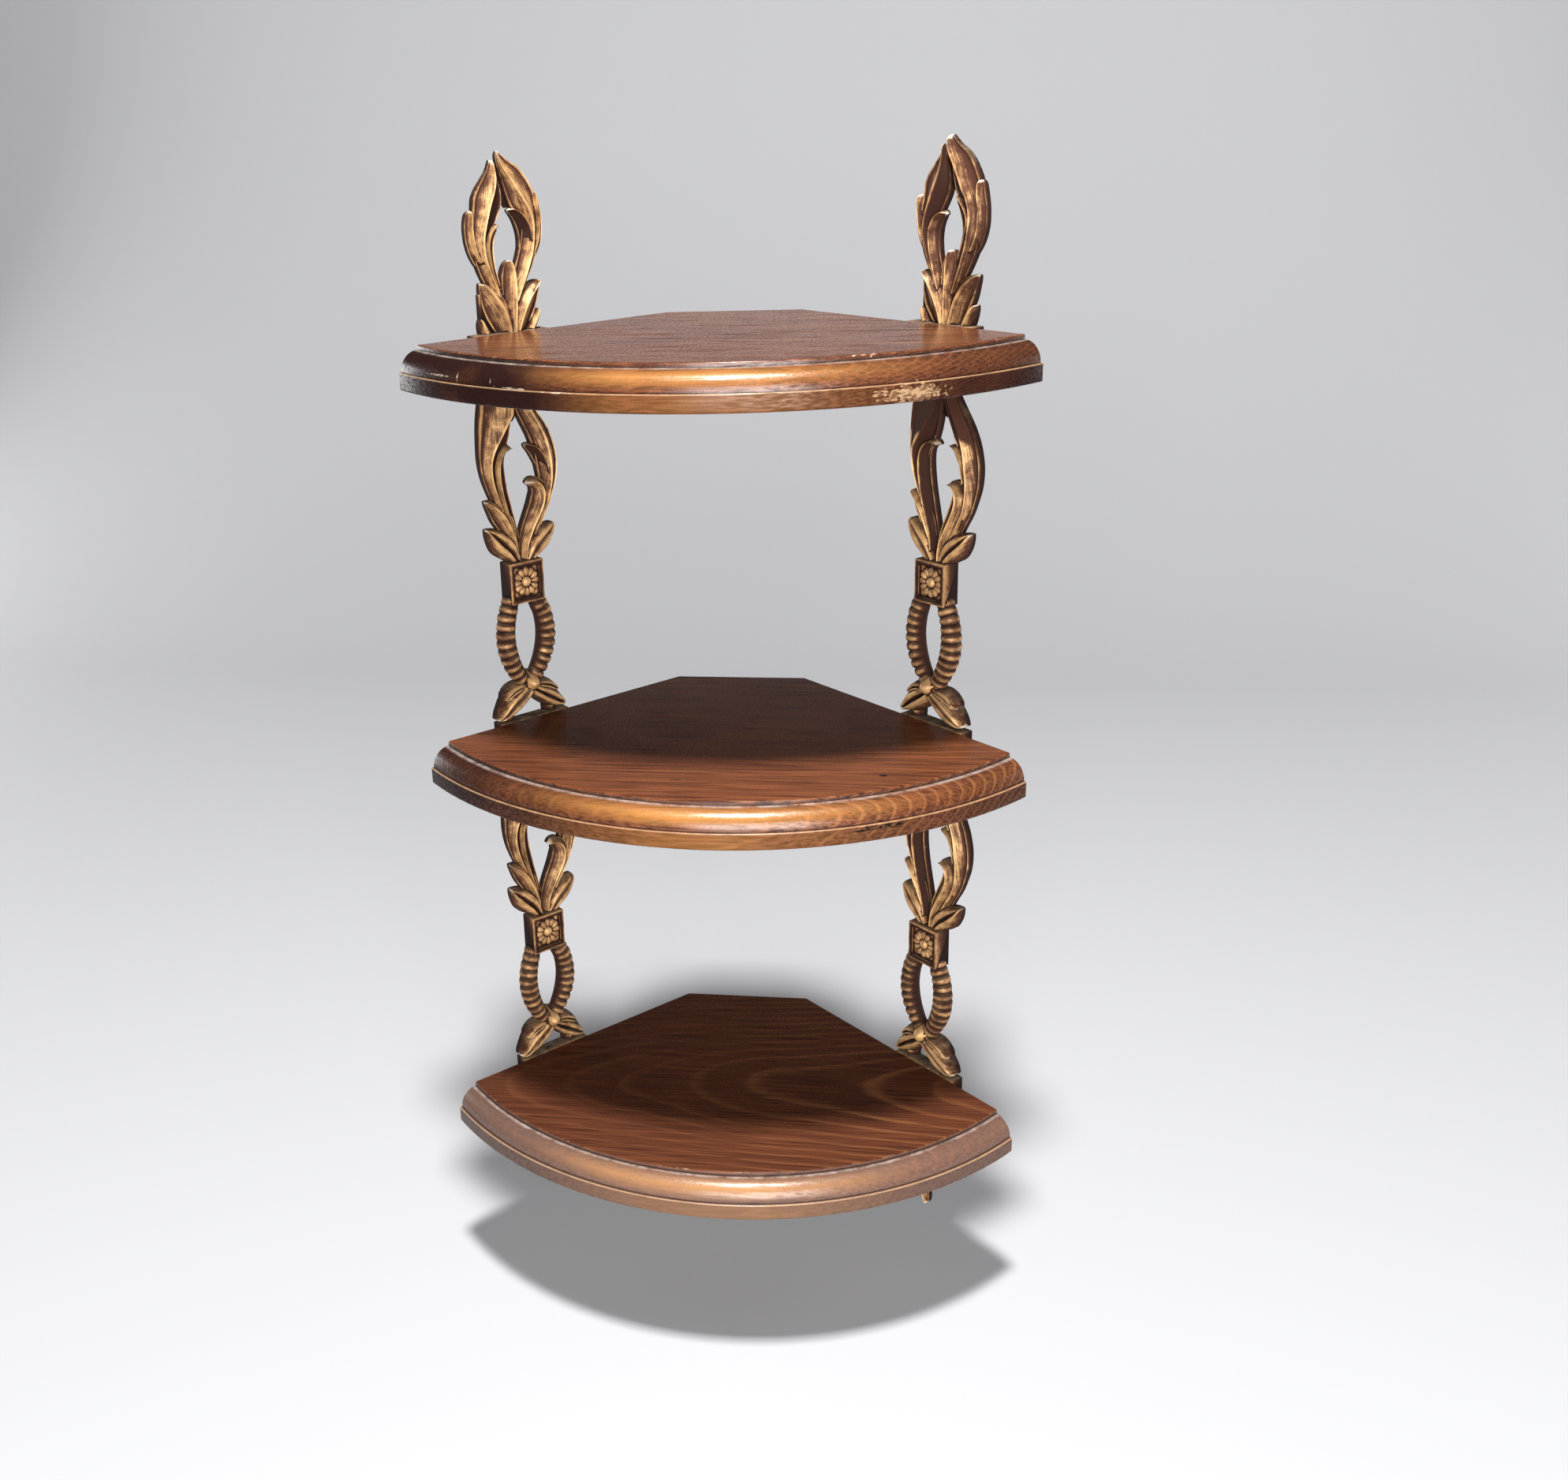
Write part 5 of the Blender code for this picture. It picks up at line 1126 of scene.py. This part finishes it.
def screw_mesh():
    """One screw along -Y, its slotted head at Y = 0."""
    profile = [(0.0, 0.0), (SCREW_HEAD, 0.0), (SCREW_SHANK, SCREW_SHANK - SCREW_HEAD),
               (SCREW_SHANK, SCREW_POINT - SCREW_LENGTH), (0.0, -SCREW_LENGTH)]
    turned, slot = bmesh.new(), bmesh.new()
    line = [turned.verts.new((out, along, 0.0)) for out, along in profile]
    edges = [turned.edges.new(pair) for pair in zip(line, line[1:])]
    bmesh.ops.spin(turned, geom=line + edges, axis=(0.0, 1.0, 0.0), cent=(0.0, 0.0, 0.0), angle=math.tau,
                   steps=TURNED_SIDES, use_merge=True)
    bmesh.ops.remove_doubles(turned, verts=turned.verts, dist=SEAM_REACH)
    bmesh.ops.create_cube(slot, size=1.0)
    bmesh.ops.scale(slot, vec=(SLOT_LENGTH, 2.0 * SLOT_DEPTH, SLOT_WIDTH), verts=slot.verts)
    blank, cutter = (bpy.data.objects.new("screw", mesh_of(bm, "screw")) for bm in (turned, slot))
    face_outwards(blank.data)
    for thing in (blank, cutter):
        scene.collection.objects.link(thing)
    unite(blank, [cutter], "DIFFERENCE")
    return plain_mesh(blank)


def screws_tree():
    """Screws in pairs at each board, on both brackets."""
    tree, given = new_tree("wood_screws", {
        "Spacing": "Float", "Drop": "Float", "Middle": "Vector", "Left": "Vector", "Right": "Vector"})
    rows = add(tree, "GeometryNodeMeshGrid", {
        "Size X": given["Spacing"], "Size Y": given["Drop"], "Vertices X": 2, "Vertices Y": len(BOARDS)})
    rows = add(tree, "GeometryNodeTransform", {
        "Geometry": rows, "Translation": given["Middle"], "Rotation": (math.radians(90.0), 0.0, 0.0)})
    on_bracket = add(tree, "GeometryNodeInstanceOnPoints", {"Points": rows, "Instance": given["Drawn"]})
    pair = add(tree, "GeometryNodeMeshLine", {
        "Count": 2, "Start Location": given["Left"], "Offset": given["Right"]}, mode="END_POINTS")
    order = add(tree, "GeometryNodeInputIndex")
    angle = add(tree, "ShaderNodeMath", {0: order, 1: -2.0 * WALL_TURN, 2: WALL_TURN},
                operation="MULTIPLY_ADD")
    turn = add(tree, "ShaderNodeCombineXYZ", {"Z": angle})
    screws = add(tree, "GeometryNodeInstanceOnPoints", {
        "Points": pair, "Instance": on_bracket, "Rotation": turn})
    end_tree(tree, screws, given["Material"])
    return tree


screws = grow(screws_tree(), screw_mesh(), {
    "Spacing": SCREW_SPACING * MM, "Drop": 2.0 * tier_pitch * MM,
    "Middle": (0.0, -SCREW_SINK, (board_tops[1] - thick / 2.0) * MM),
    "Left": (-hang_x, 0.0, 0.0), "Right": (hang_x, 0.0, 0.0),
    "Material": plated_steel("zinc_plated_steel", ZINC, ZINC_DULL)})
screw_nodes = [f"{side}_{board}_screw_{k}"
               for side in ("left", "right") for board in BOARDS for k in (1, 2)]
show("wood_screws", screws, "screw_steel", *screw_nodes)

# Keyhole hangers
# A stamped steel plate let into the back of each bracket, held by two pins, so that the shelf hangs on
# one wall screw at each side. The solids are right as they are and only take a brassy plating.
BRASSY, BRASSY_DULL = linear("#b59b62"), linear("#7d6a45")
hanger_plating = plated_steel("brass_plated_steel", BRASSY, BRASSY_DULL)
for side in ("left", "right"):
    for node in ("hanger_plate", "hanger_pin_1", "hanger_pin_2"):
        frame["nodes"][side + "_" + node].material_slots[0].material = hanger_plating

# Camera, floor and light
# The camera stands where the photograph was taken, a little above the top board. The floor and the
# backdrop are one pale sweep, lit from above and from the front by large soft lamps.
CAMERA_PLACE = (0.08215, -0.77515, 0.09302)
CAMERA_YAW, CAMERA_PITCH, CAMERA_ROLL = 0.1675, 0.3298, -0.0412
CAMERA_LENS = 38.59
CAMERA_SHIFT = (0.0976, -0.0443)

camera_data = bpy.data.cameras.new("photo_camera")
camera_data.lens = CAMERA_LENS
camera_data.shift_x, camera_data.shift_y = CAMERA_SHIFT
camera = bpy.data.objects.new("photo_camera", camera_data)
camera.matrix_world = Matrix.Translation(CAMERA_PLACE)
for angle, axis in ((CAMERA_YAW, "Z"), (math.pi / 2.0 - CAMERA_PITCH, "X"), (CAMERA_ROLL, "Z")):
    camera.matrix_world = camera.matrix_world @ Matrix.Rotation(angle, 4, axis)
scene.collection.objects.link(camera)
scene.camera = camera
scene.view_settings.view_transform = "Standard"

FLOOR_WIDTH, FLOOR_FRONT, FLOOR_DROP = 6.0, -3.0, 0.02
SWEEP_START, SWEEP_RADIUS, SWEEP_TOP, SWEEP_STEPS = 0.9, 0.8, 0.36, 24
PALE_PAINT = linear("#a4a4a6")

floor_z = cad_box[0][2] - FLOOR_DROP
sweep = [(FLOOR_FRONT, floor_z)]
for k in range(SWEEP_STEPS + 1):
    turn = math.pi / 2.0 * k / SWEEP_STEPS
    rise = SWEEP_RADIUS * (1.0 - math.cos(turn))
    sweep.append((SWEEP_START + SWEEP_RADIUS * math.sin(turn), floor_z + rise))
sweep.append((SWEEP_START + SWEEP_RADIUS, SWEEP_TOP))
sweep_points = [(x, y, z) for x in (-FLOOR_WIDTH / 2.0, FLOOR_WIDTH / 2.0) for y, z in sweep]
sweep_faces = [(i, i + len(sweep), i + len(sweep) + 1, i + 1) for i in range(len(sweep) - 1)]
floor_mesh = bpy.data.meshes.new("studio_floor")
floor_mesh.from_pydata(sweep_points, [], sweep_faces)
floor_mesh.shade_smooth()
paint, paint_tree = new_material("pale_studio_paint")
matt = add(paint_tree, "ShaderNodeBsdfPrincipled", {"Base Color": PALE_PAINT, "Roughness": 0.7})
add(paint_tree, "ShaderNodeOutputMaterial", {0: matt})
floor_mesh.materials.append(paint)
studio_floor = bpy.data.objects.new("studio_floor", floor_mesh)
scene.collection.objects.link(studio_floor)

# Place, size and power of each lamp, and where it aims
LAMPS = {
    "overhead_lamp": ((0.05, -0.56, 1.45), 0.17, 75.0, (0.0, -0.05, -0.2)),
    "front_lamp": ((0.25, -1.6, 0.08), 1.0, 50.0, (0.0, 0.0, -0.2)),
    "left_wall_lamp": ((-1.6, 0.9, -0.1), 0.8, 12.0, (0.0, 0.0, -0.2)),
    "right_wall_lamp": ((1.6, 0.9, -0.1), 0.8, 12.0, (0.0, 0.0, -0.2)),
}
for lamp_name, (place, size, power, aim) in LAMPS.items():
    lamp = bpy.data.lights.new(lamp_name, "AREA")
    lamp.size = size
    lamp.energy = power
    holder = bpy.data.objects.new(lamp_name, lamp)
    holder.location = place
    holder.rotation_euler = (Vector(aim) - Vector(place)).to_track_quat("-Z", "Y").to_euler()
    scene.collection.objects.link(holder)

SKY_STRENGTH = 0.08
world = bpy.data.worlds.new("studio")
scene.world = world
world.use_nodes = True
world.node_tree.nodes.clear()
sky = add(world.node_tree, "ShaderNodeBackground", {"Color": PALE_PAINT, "Strength": SKY_STRENGTH})
add(world.node_tree, "ShaderNodeOutputWorld", {0: sky})
